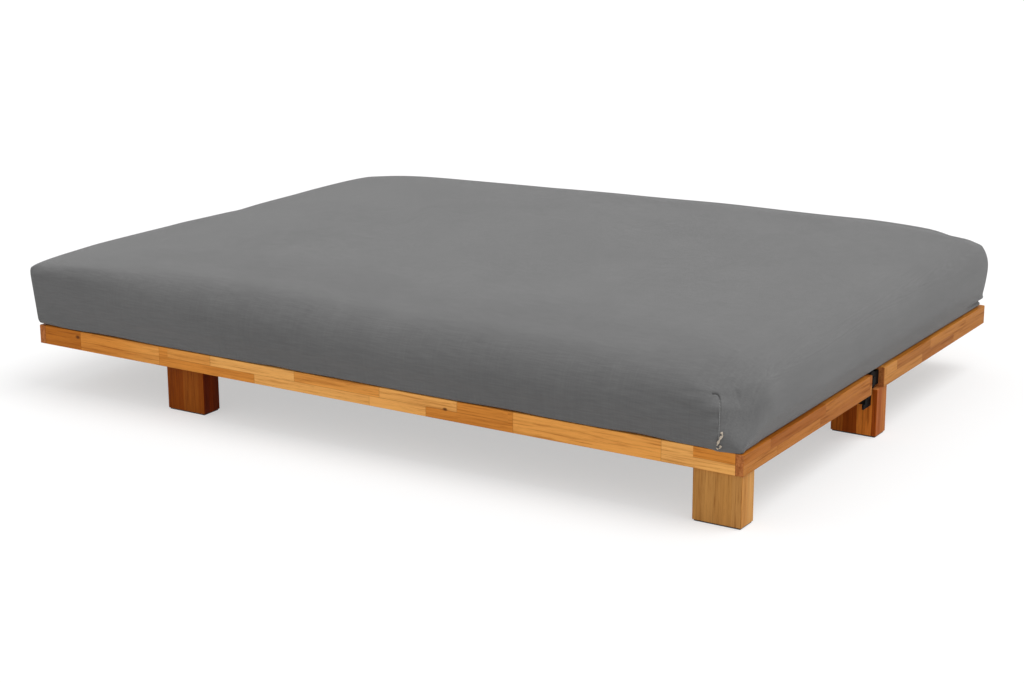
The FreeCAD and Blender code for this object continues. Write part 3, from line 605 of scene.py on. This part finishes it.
# The futon before it is filled, in metres: it starts a little smaller than it ends
SLACK = 0.004
BELLY = 0.013
FUTON_HALF_X = HALF_LENGTH + BELLY - SLACK
FUTON_HALF_Y = HALF_DEPTH + BELLY - SLACK
BASE_GAP = 0.0006
FUTON_BASE = RAIL_TOP + BASE_GAP
PLATEAU = 0.187
BELLY_SHARE = 0.7
FOOT_FADE = 0.09
SIDE_DRAW = 0.0025
ROUNDING = 0.6
ROUNDING_DEPTH = 0.12
ROUNDING_FADE = 0.25
DROP_POWER = 4
TINY = 1e-9

# Its mesh: steps near the edges and in the middle, and levels as (from, to, how many) shares of the height
EDGE_BAND = 0.075
FINE_STEP = 0.0065
COARSE_STEP = 0.0145
LEVEL_PARTS = [(0.0, 0.14, 6), (0.14, 0.6, 8), (0.6, 1.0, 11)]
MESH_DIGITS = 7

# Each side's foot outside the frame, shoulder radius and hem radius
FOOT = {"front": 0.001, "rear": -0.008, "left": 0.0, "right": -0.008}
SHOULDER = {"front": 0.028, "rear": 0.030, "left": 0.010, "right": 0.055}
HEM = {"front": 0.004, "rear": 0.008, "left": 0.014, "right": 0.005}
FRONT_SOFTENING = 0.016
SOFTENING_START = -0.85
SOFTENING_RUN = 0.6
CORNER_SOFTENING = 0.030
CORNER_FLARE = 0.004
CORNERS = {(-1, -1): 0.008, (1, -1): 0.028, (1, 1): 0.028, (-1, 1): 0.024}
CORNER_SPREAD = {(1, -1): 0.090}
SPREAD_SHARE = 0.55

# The left end leans out straight to a crisp top edge, its hem lifts off the rail, and the right side bulges
LEAN_REACH = 0.5
LEFT_OVERHANG = 0.002
OVERHANG_REACH = 0.3
FRONT_OVERHANG = 0.008
FRONT_OVERHANG_REACH = (0.7, 0.3)
RIGHT_BELLY = 0.008
RIGHT_BELLY_PLACE = -0.36
RIGHT_BELLY_REACH = (0.2, 0.42)
LEFT_HEM = 0.012
LEFT_HEM_REACH = 0.13

# Heights of the four top edges above the rails, and how far in from each edge the top still rises
EDGES = {
    "front": [(-0.95, 0.154), (-0.8, 0.159), (-0.6, 0.158), (-0.4, 0.154), (-0.25, 0.145), (0.0, 0.131),
              (0.3, 0.128), (0.6, 0.122), (0.95, 0.130)],
    "rear": [(-0.95, 0.140), (-0.89, 0.147), (-0.64, 0.160), (-0.43, 0.170), (-0.085, 0.185), (0.22, 0.192),
             (0.43, 0.194), (0.63, 0.196), (0.82, 0.195), (0.89, 0.179), (0.95, 0.161)],
    "left": [(-0.70, 0.155), (-0.60, 0.158), (-0.47, 0.162), (-0.35, 0.158), (-0.24, 0.152), (-0.15, 0.156),
             (-0.045, 0.149), (0.05, 0.139), (0.12, 0.147), (0.28, 0.140), (0.40, 0.143), (0.60, 0.139),
             (0.70, 0.132)],
    "right": [(-0.70, 0.142), (-0.4, 0.148), (0.0, 0.151), (0.4, 0.158), (0.70, 0.169)],
}
EDGE_REACH = {"front": 0.28, "rear": 0.25, "left": 0.45, "right": 0.36}
CURVE_POINTS = 801
CURVE_WINDOW = 20

# Uneven filling: the height of its swells, and their rates and shifts in radians
BROAD_SWELL = (0.0010, (7.1, 1.1), (6.3, 0.4))
SMALL_SWELL = (0.0007, (12.7, -5.2), 2.0)


def smooth(value):
    """Smoothstep of a value from 0 to 1."""
    value = np.clip(value, 0.0, 1.0)
    return value * value * (3 - 2 * value)


def spaced(half):
    """Places from one edge to the other, closer together near both."""
    band = np.linspace(half - EDGE_BAND, half, round(EDGE_BAND / FINE_STEP) + 1)
    inner = half - EDGE_BAND
    middle = np.linspace(-inner, inner, round(2 * inner / COARSE_STEP) + 1)
    return np.unique(np.round(np.concatenate([-band, middle, band]), MESH_DIGITS))


def lattice(counts):
    """Index triples on the skin of a block of cells, and its faces as rows of those points."""
    index = {}
    faces = []
    for axis in range(3):
        first, second = [other for other in range(3) if other != axis]
        for level in (0, counts[axis]):
            outward = (level > 0) == (axis != 1)
            for i in range(counts[first]):
                for j in range(counts[second]):
                    loop = []
                    for di, dj in ((0, 0), (1, 0), (1, 1), (0, 1)):
                        key = [0, 0, 0]
                        key[axis] = level
                        key[first] = i + di
                        key[second] = j + dj
                        loop.append(index.setdefault(tuple(key), len(index)))
                    faces.append(loop if outward else loop[::-1])
    return np.array(sorted(index, key=index.get)), faces


def curve(knots, value):
    """A smooth line through the knots, read at a value."""
    places, heights = zip(*knots)
    grid = np.linspace(-1.0, 1.0, CURVE_POINTS)
    raw = np.pad(np.interp(grid, places, heights), CURVE_WINDOW, mode="edge")
    window = np.hanning(2 * CURVE_WINDOW + 3)[1:-1]
    return np.interp(value, grid, np.convolve(raw, window / window.sum(), "valid"))


def of_side(table, normal_x, normal_y):
    """A size of the side that a point faces, blended round the corners."""
    ends = np.where(normal_x < 0, table["left"], table["right"])
    fronts = np.where(normal_y < 0, table["front"], table["rear"])
    return normal_x**2 * ends + normal_y**2 * fronts


def lumps(x, y):
    """Uneven filling: broad, shallow swells."""
    broad, (rate_x, shift_x), (rate_y, shift_y) = BROAD_SWELL
    swell = broad * np.sin(rate_x * x + shift_x) * np.cos(rate_y * y + shift_y)
    small, (slant_x, slant_y), shift = SMALL_SWELL
    return swell + small * np.sin(slant_x * x + slant_y * y + shift)


def top_height(x, y):
    """Height of the top above the rails: a plateau that falls away towards each edge."""
    gaps = {
        "front": FUTON_HALF_Y + y,
        "rear": FUTON_HALF_Y - y,
        "left": FUTON_HALF_X + x,
        "right": FUTON_HALF_X - x,
    }
    drop = 0.0
    swell = 0.0
    for side, gap in gaps.items():
        along = x if side in ("front", "rear") else y
        share = np.clip(1 - gap / EDGE_REACH[side], 0.0, 1.0)
        fall = (PLATEAU - curve(EDGES[side], along)) * share**2
        drop = drop + np.maximum(fall, 0.0) ** DROP_POWER
        swell = swell + np.maximum(-fall, 0.0)
    return PLATEAU - drop ** (1 / DROP_POWER) + swell + lumps(x, y)


def round_corners(x, y, share, depth):
    """Round the slab's corners as seen from above: the new places, and which way each point faces."""
    away_x, away_y = np.sign(x), np.sign(y)
    radius = np.zeros(len(x))
    for (side_x, side_y), size in CORNERS.items():
        here = (away_x * side_x >= 0) & (away_y * side_y >= 0)
        spread = CORNER_SPREAD.get((side_x, side_y), 0.0)
        radius[here] = size + spread * smooth(share[here] / SPREAD_SHARE)
    radius += ROUNDING * np.minimum(depth, ROUNDING_DEPTH)
    radius *= 1 - smooth((depth - ROUNDING_DEPTH) / ROUNDING_FADE)
    inner_x = FUTON_HALF_X - depth - radius
    inner_y = FUTON_HALF_Y - depth - radius
    out_x = np.maximum(np.abs(x) - inner_x, 0.0)
    out_y = np.maximum(np.abs(y) - inner_y, 0.0)
    length = np.maximum(np.hypot(out_x, out_y), TINY)
    factor = np.maximum(out_x, out_y) / length
    x = away_x * (np.minimum(np.abs(x), inner_x) + out_x * factor)
    y = away_y * (np.minimum(np.abs(y), inner_y) + out_y * factor)
    return x, y, away_x * out_x / length, away_y * out_y / length


def turned(bend, depth, level):
    """Which points lie in the bend of an edge, and their depths and levels once it is round."""
    near = (depth < bend) & (level < bend)
    away_depth = (bend - depth)[near]
    away_level = (bend - level)[near]
    turn = np.maximum(away_depth, away_level) / np.hypot(away_depth, away_level)
    return near, bend[near] - away_depth * turn, bend[near] - away_level * turn


def bend_edges(x, height, share, depth, facing):
    """Round the top edge to a shoulder and the bottom edge to a hem: the new depths and heights."""
    normal_x, normal_y, corner = facing
    to_front = np.where(normal_y < 0, normal_y**2, 0.0)
    shoulder = of_side(SHOULDER, normal_x, normal_y)
    shoulder = shoulder + FRONT_SOFTENING * smooth((x - SOFTENING_START) / SOFTENING_RUN) * to_front
    shoulder = shoulder + CORNER_SOFTENING * corner
    hem = of_side(HEM, normal_x, normal_y)
    hem = hem + LEFT_HEM * smooth(1 - (FUTON_HALF_X + x) / LEFT_HEM_REACH) * to_front
    new_depth = depth.copy()
    z = height * share
    near, depth_there, level_there = turned(shoulder, depth, height * (1 - share))
    new_depth[near] = depth_there
    z[near] = height[near] - level_there
    near, depth_there, level_there = turned(hem, depth, height * share)
    new_depth[near] = depth_there
    z[near] = level_there
    return new_depth, z


def shape_sides(x, y, rise, depth, new_depth, facing):
    """Lean the sides in to their feet, hang the left end and the front out, and bulge the right side."""
    normal_x, normal_y, corner = facing
    from_left = FUTON_HALF_X + x
    straight = smooth(1 - from_left / LEAN_REACH)
    lean = np.sin(np.clip(rise / BELLY_SHARE, 0, 1) * math.pi / 2) * (1 - straight) + rise * straight
    reach_in = BELLY - SLACK - of_side(FOOT, normal_x, normal_y) - CORNER_FLARE * corner
    inward = reach_in * (1 - lean) * smooth(1 - depth / FOOT_FADE)
    step = depth - new_depth - inward
    x = x + normal_x * step
    y = y + normal_y * step
    along_reach, inward_reach = FRONT_OVERHANG_REACH
    hung = smooth(1 - from_left / along_reach) * smooth(1 - (FUTON_HALF_Y + y) / inward_reach)
    y = y - FRONT_OVERHANG * hung * rise
    x = x - LEFT_OVERHANG * smooth(1 - from_left / OVERHANG_REACH) * rise
    reach_x, reach_y = RIGHT_BELLY_REACH
    beside = smooth(1 - np.abs(y - RIGHT_BELLY_PLACE) / reach_y)
    near_right = smooth(1 - (FUTON_HALF_X - x) / reach_x)
    x = x + RIGHT_BELLY * beside * near_right * np.sin(math.pi * rise)
    return x, y


def filled_slab():
    """The cover's form: a slab with its own shoulder on each side, crisp on the left, round on the right."""
    columns = spaced(FUTON_HALF_X)
    lines = spaced(FUTON_HALF_Y)
    levels = np.concatenate([np.linspace(*part) for part in LEVEL_PARTS])
    levels = np.unique(np.round(levels, MESH_DIGITS))
    cells, faces = lattice([len(columns) - 1, len(lines) - 1, len(levels) - 1])
    x = columns[cells[:, 0]]
    y = lines[cells[:, 1]]
    share = levels[cells[:, 2]]
    depth = np.minimum(FUTON_HALF_X - np.abs(x), FUTON_HALF_Y - np.abs(y))
    x, y, normal_x, normal_y = round_corners(x, y, share, depth)
    corner = np.where((normal_x > 0) & (normal_y < 0), 4 * (normal_x * normal_y) ** 2, 0.0)
    facing = (normal_x, normal_y, corner)
    height = top_height(x, y)
    new_depth, z = bend_edges(x, height, share, depth, facing)
    x, y = shape_sides(x, y, np.clip(z / height, 0, 1), depth, new_depth, facing)
    z = z + top_height(x, y) * smooth(share) - height * smooth(share)
    drawn_x = 1 - SIDE_DRAW / FUTON_HALF_X * (1 - (y / FUTON_HALF_Y) ** 2) * (x / FUTON_HALF_X) ** 4
    drawn_y = 1 - SIDE_DRAW / FUTON_HALF_Y * (1 - (x / FUTON_HALF_X) ** 2) * (y / FUTON_HALF_Y) ** 4
    return np.stack([x * drawn_x, y * drawn_y, z + FUTON_BASE], 1), faces


# Filling: how firmly the cover is held on top, at its foot and at the front left corner, and its cloth
TOP_HOLD = 0.55
TOP_HOLD_RISE = (0.11, 0.04)
TOP_HOLD_REACH = 0.22
FOOT_HOLD_RISE = (0.004, 0.05)
CORNER_HOLD = 0.95
CORNER_HOLD_REACH = 0.10
LEAST_HOLD = 0.01
FRAMES = 20
MOVE_CAP = 0.006
CLOTH_SETTINGS = {
    "quality": 5,
    "mass": 0.4,
    "tension_stiffness": 40,
    "compression_stiffness": 40,
    "shear_stiffness": 12,
    "bending_stiffness": 4.0,
    "use_pressure": True,
    "uniform_pressure_force": 4.0,
    "pin_stiffness": 1.2,
    "shrink_min": 0.002,
}


def new_mesh(name, points, faces):
    """A mesh object in the scene."""
    mesh = bpy.data.meshes.new(name)
    mesh.from_pydata([tuple(place) for place in points], [], faces)
    mesh.update()
    made = bpy.data.objects.new(name, mesh)
    bpy.context.scene.collection.objects.link(made)
    return made


def set_points(piece, points):
    """Move a mesh's points."""
    piece.data.vertices.foreach_set("co", np.asarray(points, np.float32).ravel())
    piece.data.update()


def get_points(piece, key="co"):
    """A mesh's points, or another value that it keeps at them."""
    values = np.zeros(len(piece.data.vertices) * 3, np.float32)
    piece.data.vertices.foreach_get(key, values)
    return values.reshape(-1, 3).astype(float)


def holds(start):
    """How firmly each point of the cover is held while it fills."""
    x, y, z = start.T
    rise, run = TOP_HOLD_RISE
    top = smooth((z - FUTON_BASE - rise) / run)
    inside = np.minimum(FUTON_HALF_X - np.abs(x), FUTON_HALF_Y - np.abs(y))
    rise, run = FOOT_HOLD_RISE
    foot = 1 - smooth((z - FUTON_BASE - rise) / run)
    held = np.maximum(foot, TOP_HOLD * top * smooth(inside / TOP_HOLD_REACH))
    from_corner = np.hypot(FUTON_HALF_X + x, FUTON_HALF_Y + y)
    return np.maximum(held, CORNER_HOLD * (1 - smooth(from_corner / CORNER_HOLD_REACH)))


def inflate(piece, start):
    """Let air pressure stretch the cover over its filling, held underneath and softly over the top."""
    group = piece.vertex_groups.new(name="held")
    for index, weight in enumerate(holds(start)):
        if weight > LEAST_HOLD:
            group.add([index], float(weight), "REPLACE")
    cloth = piece.modifiers.new("filling", "CLOTH")
    for key, value in CLOTH_SETTINGS.items():
        setattr(cloth.settings, key, value)
    cloth.settings.vertex_group_mass = group.name
    cloth.settings.effector_weights.gravity = 0
    cloth.collision_settings.use_collision = False
    cloth.point_cache.frame_start = 1
    cloth.point_cache.frame_end = FRAMES
    scene = bpy.context.scene
    for number in range(1, FRAMES + 1):
        scene.frame_set(number)
    graph = bpy.context.evaluated_depsgraph_get()
    swollen = piece.evaluated_get(graph).to_mesh()
    moved = np.zeros(len(swollen.vertices) * 3)
    swollen.vertices.foreach_get("co", moved)
    piece.evaluated_get(graph).to_mesh_clear()
    piece.modifiers.remove(cloth)
    piece.vertex_groups.remove(group)
    scene.frame_set(1)
    step = moved.reshape(-1, 3) - start
    far = np.linalg.norm(step, axis=1, keepdims=True)
    return start + step * np.minimum(1.0, MOVE_CAP / np.maximum(far, TINY))


def subdivide(piece):
    """One level of smooth subdivision, applied."""
    modifier = piece.modifiers.new("finer", "SUBSURF")
    modifier.levels = 1
    modifier.render_levels = 1
    graph = bpy.context.evaluated_depsgraph_get()
    finer = bpy.data.meshes.new_from_object(piece.evaluated_get(graph))
    piece.modifiers.remove(modifier)
    old = piece.data
    piece.data = finer
    bpy.data.meshes.remove(old)


# The front right seam as the camera sees it, x and z on the front plane, and its last point before the top
FRONT_PLANE = -0.697
SEAM_LINE = [(0.9000, 0.158), (0.9000, 0.185), (0.9005, 0.216), (0.9005, 0.249), (0.9000, 0.270),
             (0.8985, 0.2755), (0.8955, 0.2795), (0.8925, 0.2808), (0.8885, 0.2803), (0.8845, 0.2795)]
SEAM_TURN = 4
SEAM_FADE = (0.012, 0.03)
SEAM_BOX = ((0.80, 0.97), -0.60, 0.325)
SEAM_BOX_SPARE = 0.02
SEAM_CUTS = 3
GROOVE_DEPTH = (0.0007, 0.0034)
GROOVE_WIDTH = 0.0021
GROOVE_RISE = (0.235, 0.030)
PUCKER_RISE = 0.0019
PUCKER_PITCH = 0.031
PUCKER_PHASE = 0.087
PUCKER_SLANT = 0.11
PUCKER_REACH = 0.040
RIDGE = 0.011
RIDGE_REACH = 0.036
RIDGE_FOOT = (0.35, 0.045)

# The tucked fold at the rear right corner: its place, and each band's height, width and depth
TUCK_PLACE = (0.955, 0.69)
TUCK_REACH = 0.09
TUCK_BANDS = ((0.0135, 0.0042, 0.0085), (0.0225, 0.0045, -0.0035))

# The front hem's waves: where along the rail it lifts, by how much and over what length
HEM_WAVES = ((-0.72, 0.0042, 0.075), (-0.225, 0.0038, 0.038), (-0.04, 0.0014, 0.10), (0.39, 0.0040, 0.065),
             (0.71, 0.0050, 0.042))
HEM_WAVE_REACH = (0.012, 0.05)

# The bend over the hinge, and the arch under it that keeps the futon on the slats while the back is up
BEND_HALF = 0.19
ARCH_ENDS = (0.895, 0.925)
ARCH_SPARE = 0.0015
ARCH_SPARE_RATE = 8
ARCH_SOFTNESS = 0.02
UNDERSIDE = 0.0015


def refine(piece, box, cuts):
    """Cut the faces inside a box more finely."""
    (low_x, high_x), front_y, top_z = box
    work = bmesh.new()
    work.from_mesh(piece.data)
    edges = set()
    for face in work.faces:
        middle = face.calc_center_median()
        if low_x < middle.x < high_x and middle.y < front_y and middle.z < top_z:
            edges.update(face.edges)
    bmesh.ops.subdivide_edges(work, edges=list(edges), cuts=cuts, use_grid_fill=True)
    work.to_mesh(piece.data)
    work.free()
    piece.data.update()


def from_line(x, z, line):
    """Distance of points in a plane from a line of short runs."""
    best = np.full(len(x), np.inf)
    for (x0, z0), (x1, z1) in zip(line, line[1:]):
        run_x, run_z = x1 - x0, z1 - z0
        share = np.clip(((x - x0) * run_x + (z - z0) * run_z) / (run_x**2 + run_z**2), 0, 1)
        best = np.minimum(best, np.hypot(x - x0 - share * run_x, z - z0 - share * run_z))
    return best


def as_seen(places):
    """Where points show from the camera: x and z on the plane of the front."""
    eye_x, eye_y, eye_z = CAMERA_PLACE
    share = (FRONT_PLANE - eye_y) / (places[:, 1] - eye_y)
    return eye_x + (places[:, 0] - eye_x) * share, eye_z + (places[:, 2] - eye_z) * share


def lift_hem(piece):
    """Lift the front hem off the rail in a few soft waves."""
    places = get_points(piece)
    x, y, z = places.T
    inward, upward = HEM_WAVE_REACH
    near = smooth(1 - (y + HALF_DEPTH) / inward) * smooth(1 - (z - FUTON_BASE) / upward)
    for middle, rise, reach in HEM_WAVES:
        places[:, 2] += rise * near * np.exp(-(((x - middle) / reach) ** 2))
    set_points(piece, places)


def sew_corner(piece):
    """Draw the cover in along the corner seam, on a low ridge with puckers beside it."""
    refine(piece, SEAM_BOX, SEAM_CUTS)
    places = get_points(piece)
    (low_x, _), front_y, top_z = SEAM_BOX
    here = (places[:, 0] > low_x - SEAM_BOX_SPARE) & (places[:, 1] < front_y) & (places[:, 2] < top_z)
    x, z = as_seen(places)
    gap = from_line(x, z, SEAM_LINE)
    shallow, deep = GROOVE_DEPTH
    depth = shallow + (deep - shallow) * smooth((z - GROOVE_RISE[0]) / GROOVE_RISE[1])
    groove = depth * np.exp(-((gap / GROOVE_WIDTH) ** 2))
    seam_x, seam_top = SEAM_LINE[SEAM_TURN]
    beside = np.maximum(seam_x - x, 0.0)
    over, fade = SEAM_FADE
    below = smooth((seam_top + over - z) / fade)
    turns = z / PUCKER_PITCH + beside / PUCKER_SLANT + PUCKER_PHASE
    ripple = np.sin(2 * math.pi * turns) * np.exp(-beside / PUCKER_REACH)
    least, run = RIDGE_FOOT
    ridge = RIDGE * np.exp(-np.abs(seam_x - x) / RIDGE_REACH)
    ridge *= least + (1 - least) * smooth((z - RAIL_TOP) / run)
    rise = (PUCKER_RISE * ripple * (x < seam_x) + ridge) * below - groove
    places += get_points(piece, "normal") * (rise * here)[:, None]
    set_points(piece, places)


def tuck_corner(piece):
    """Fold the cover in above the rails at the rear right corner."""
    places = get_points(piece)
    x, y, z = places.T
    away = np.hypot(x - TUCK_PLACE[0], y - TUCK_PLACE[1])
    weight = np.exp(-((away / TUCK_REACH) ** 2))
    level = z - FUTON_BASE
    side = get_points(piece, "normal")
    side[:, 2] = 0.0
    for height, width, depth in TUCK_BANDS:
        drawn = depth * weight * np.exp(-(((level - height) / width) ** 2))
        places -= side * drawn[:, None]
    set_points(piece, places)


def arch_underside(piece):
    """Lift the underside over the hinge by as much as it sinks into the slats in the bend."""
    places = get_points(piece)
    x, y, z = places.T
    away = np.hypot(y, ARCH_SOFTNESS)
    share = np.clip((away + BEND_HALF) / (2 * BEND_HALF), 0, 1)
    lag = FOLD_ANGLE * (1 - smooth(share))
    above = FUTON_BASE - HINGE_HEIGHT
    spare = ARCH_SPARE * smooth(lag / FOLD_ANGLE * ARCH_SPARE_RATE)
    rise = (above + away * np.sin(lag)) / np.cos(lag) - above + spare
    inner, outer = ARCH_ENDS
    under = (z < FUTON_BASE + UNDERSIDE) * (1 - smooth((np.abs(x) - inner) / (outer - inner)))
    places[:, 2] += rise * under
    set_points(piece, places)


def make_futon():
    """The futon: a slab, filled, made finer, and then sewn, tucked and arched."""
    points, faces = filled_slab()
    piece = new_mesh("futon", points, faces)
    set_points(piece, inflate(piece, points))
    points = get_points(piece)
    points[:, 2] = np.maximum(points[:, 2], FUTON_BASE)
    set_points(piece, points)
    subdivide(piece)
    for change in (lift_hem, sew_corner, tuck_corner, arch_underside):
        change(piece)
    piece.data.shade_smooth()
    piece.data.materials.clear()
    piece.data.materials.append(cover_cloth("cover_cotton"))
    return piece


# Stitches beside the seam, paler than the cover, their paleness partly a painted highlight of the seam's ridge,
# and the frayed end of tape that shows at its foot
STITCH_PITCH = 0.0055
STITCH_SIZE = (0.0046, 0.0014)
STITCH_LIFT_SHARE = 1 / 3
# Pale grey thread: thread colour, lightened as a painted highlight along the seam's ridge
STITCH_AND_HIGHLIGHT_COLOUR = (0.30, 0.30, 0.30)
TAPE_RUNS = (
    ((0.9050, 0.2040), (0.9085, 0.1985), (0.9035, 0.1915), (0.9000, 0.1840), (0.8978, 0.1765)),
    ((0.9058, 0.1772), (0.9024, 0.1707)),
    ((0.8986, 0.1712), (0.8980, 0.1680)),
)
TAPE_WIDTH = 0.0050
TAPE_THICKNESS = 0.0010
TAPE_LIFT = 0.0012
TAPE_LIFT_SHARE = 0.25
TAPE_TWIST = 260.0
TAPE_STEP = 0.0012
TAPE_COLOUR = (0.72, 0.62, 0.50)
BLOCK_FACES = ((0, 1, 3, 2), (4, 6, 7, 5), (0, 4, 5, 1), (2, 3, 7, 6), (0, 2, 6, 4), (1, 5, 7, 3))
SQUARE = ((-1, -1), (1, -1), (1, 1), (-1, 1))


def skin_of(piece):
    """A search tree over a piece's faces."""
    work = bmesh.new()
    work.from_mesh(piece.data)
    tree = BVHTree.FromBMesh(work)
    work.free()
    return tree


def on_cover(skin, x, z):
    """Where the camera meets the cover through a place on the front plane, and which way the cover faces."""
    eye = Vector(CAMERA_PLACE)
    hit, normal, _, _ = skin.ray_cast(eye, Vector((x, FRONT_PLANE, z)) - eye)
    return hit, normal


def run_points(line, step):
    """Points evenly along a line of short runs, with the direction at each."""
    places = [Vector(place) for place in line]
    result = []
    carry = 0.0
    for start, end in zip(places, places[1:]):
        length = (end - start).length
        heading = (end - start) / length
        while carry <= length:
            result.append((start + heading * carry, heading))
            carry += step
        carry -= length
    return result


def add_block(work, middle, along, outward, size):
    """A small six-sided block laid along a direction."""
    side = along.cross(outward).normalized()
    length, width, thickness = size
    corners = []
    for i in (-1, 1):
        for j in (-1, 1):
            for k in (-1, 1):
                shift = along * (i * length / 2) + side * (j * width / 2) + outward * (k * thickness / 2)
                corners.append(work.verts.new(middle + shift))
    for loop in BLOCK_FACES:
        work.faces.new([corners[index] for index in loop])


def trimming(name, look, work):
    """A piece of trimming on the seat's half of the futon, from a mesh in the making."""
    made = new_mesh(name, [], [])
    made.data.materials.append(look)
    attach(made, "seat")
    work.to_mesh(made.data)
    work.free()


def add_stitches(skin):
    """A row of short stitches along the corner seam, pale grey partly as a painted highlight of its ridge."""
    work = bmesh.new()
    length, width = STITCH_SIZE
    for place, heading in run_points(SEAM_LINE[1:SEAM_TURN + 1], STITCH_PITCH):
        hit, normal = on_cover(skin, place.x, place.y)
        along = Vector((heading.x, 0.0, heading.y))
        along = (along - normal * along.dot(normal)).normalized()
        add_block(work, hit + normal * (width * STITCH_LIFT_SHARE), along, normal, (length, width, width))
    trimming("corner_stitches", thread("grey_thread", STITCH_AND_HIGHLIGHT_COLOUR), work)


def add_tape(skin):
    """A twisted, frayed strip of cream tape at the foot of the seam."""
    work = bmesh.new()
    for line in TAPE_RUNS:
        rows = []
        for number, (place, heading) in enumerate(run_points(line, TAPE_STEP)):
            hit, normal = on_cover(skin, place.x, place.y)
            along = Vector((heading.x, 0.0, heading.y)).normalized()
            turn = Matrix.Rotation(TAPE_TWIST * TAPE_STEP * number, 3, along)
            across = turn @ along.cross(normal).normalized()
            thick = across.cross(along)
            middle = hit + normal * (TAPE_LIFT + TAPE_WIDTH * TAPE_LIFT_SHARE)
            rows.append([
                work.verts.new(middle + across * (TAPE_WIDTH / 2) * i + thick * (TAPE_THICKNESS / 2) * j)
                for i, j in SQUARE
            ])
        for first, second in zip(rows, rows[1:]):
            for index in range(len(SQUARE)):
                after = (index + 1) % len(SQUARE)
                work.faces.new([first[index], first[after], second[after], second[index]])
        work.faces.new(rows[0][::-1])
        work.faces.new(rows[-1])
    bmesh.ops.recalc_face_normals(work, faces=work.faces)
    trimming("corner_tape", thread("cream_tape", TAPE_COLOUR), work)


def remember(piece):
    """Keep where each point of the cover was sewn and which way it faced, for the weave."""
    for name, key in (("sewn_place", "co"), ("sewn_facing", "normal")):
        kept = piece.data.attributes.new(name, "FLOAT_VECTOR", "POINT")
        kept.data.foreach_set("vector", get_points(piece, key).astype(np.float32).ravel())


futon = make_futon()
front_skin = skin_of(futon)
add_stitches(front_skin)
add_tape(front_skin)
remember(futon)
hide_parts("futon_seat_half", "futon_fold", "futon_back_half")
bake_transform(futon)


def looked_at(tree):
    """One for what the camera sees, straight or by reflection, and zero for light that spreads."""
    rays = add(tree, "ShaderNodeLightPath").outputs
    mirrored = maths(tree, "MAXIMUM", rays["Is Glossy Ray"], rays["Is Transmission Ray"])
    return maths(tree, "MAXIMUM", rays["Is Camera Ray"], mirrored)


def stage_floor():
    """A pale floor that shows white, keeps the shadow and gives back little light."""
    corners = [(FLOOR_HALF * x, FLOOR_HALF * y, 0.0) for x, y in SQUARE]
    floor = new_mesh("floor", corners, [[0, 1, 2, 3]])
    made = bpy.data.materials.new("pale_floor")
    made.use_nodes = True
    tree = made.node_tree
    tree.nodes.clear()
    shaded = add(tree, "ShaderNodeBsdfDiffuse", {"Color": FLOOR_COLOUR})
    white = add(tree, "ShaderNodeEmission", {"Color": WHITE, "Strength": 1.0})
    shown = add(tree, "ShaderNodeMixShader", {0: FLOOR_GLOW_SHARE, 1: shaded.outputs[0], 2: white.outputs[0]})
    given = add(tree, "ShaderNodeBsdfDiffuse", {"Color": FLOOR_BOUNCE})
    mixed = add(tree, "ShaderNodeMixShader", {0: looked_at(tree), 1: given.outputs[0], 2: shown.outputs[0]})
    add(tree, "ShaderNodeOutputMaterial", {"Surface": mixed.outputs[0]})
    floor.data.materials.append(made)


def light_scene():
    """A white world and a broad soft key from the right."""
    world = bpy.data.worlds.new("studio")
    bpy.context.scene.world = world
    world.use_nodes = True
    tree = world.node_tree
    tree.nodes.clear()
    shown = add(tree, "ShaderNodeBackground", {"Color": WHITE, "Strength": 1.0})
    given = add(tree, "ShaderNodeBackground", {"Color": WHITE, "Strength": WORLD_STRENGTH})
    mixed = add(tree, "ShaderNodeMixShader", {0: looked_at(tree), 1: given.outputs[0], 2: shown.outputs[0]})
    add(tree, "ShaderNodeOutputWorld", {"Surface": mixed.outputs[0]})
    lamp = bpy.data.lights.new("key", "SUN")
    lamp.energy = KEY_STRENGTH
    lamp.angle = math.radians(KEY_ANGLE)
    key = bpy.data.objects.new("key", lamp)
    key.rotation_mode = "QUATERNION"
    key.rotation_quaternion = Vector(KEY_DIRECTION).to_track_quat("Z", "Y")
    bpy.context.scene.collection.objects.link(key)


def aim_camera():
    """The photograph's camera."""
    pitch = math.radians(CAMERA_PITCH)
    azimuth = math.radians(CAMERA_AZIMUTH)
    roll = math.radians(CAMERA_ROLL)
    flat = math.cos(pitch)
    forward = Vector((-math.sin(azimuth) * flat, math.cos(azimuth) * flat, -math.sin(pitch)))
    level = Vector((math.cos(azimuth), math.sin(azimuth), 0.0))
    down = forward.cross(level)
    right = math.cos(roll) * level + math.sin(roll) * down
    up = math.sin(roll) * level - math.cos(roll) * down
    lens = bpy.data.cameras.new("camera")
    lens.sensor_width = SENSOR_WIDTH
    lens.lens = FOCAL_PIXELS / IMAGE_WIDTH * SENSOR_WIDTH
    lens.clip_end = CAMERA_REACH
    camera = bpy.data.objects.new("camera", lens)
    turn = Matrix((right, up, -forward)).transposed().to_4x4()
    camera.matrix_world = Matrix.Translation(CAMERA_PLACE) @ turn
    bpy.context.scene.collection.objects.link(camera)
    bpy.context.scene.camera = camera


stage_floor()
light_scene()
aim_camera()
bpy.context.scene.view_settings.view_transform = "Standard"
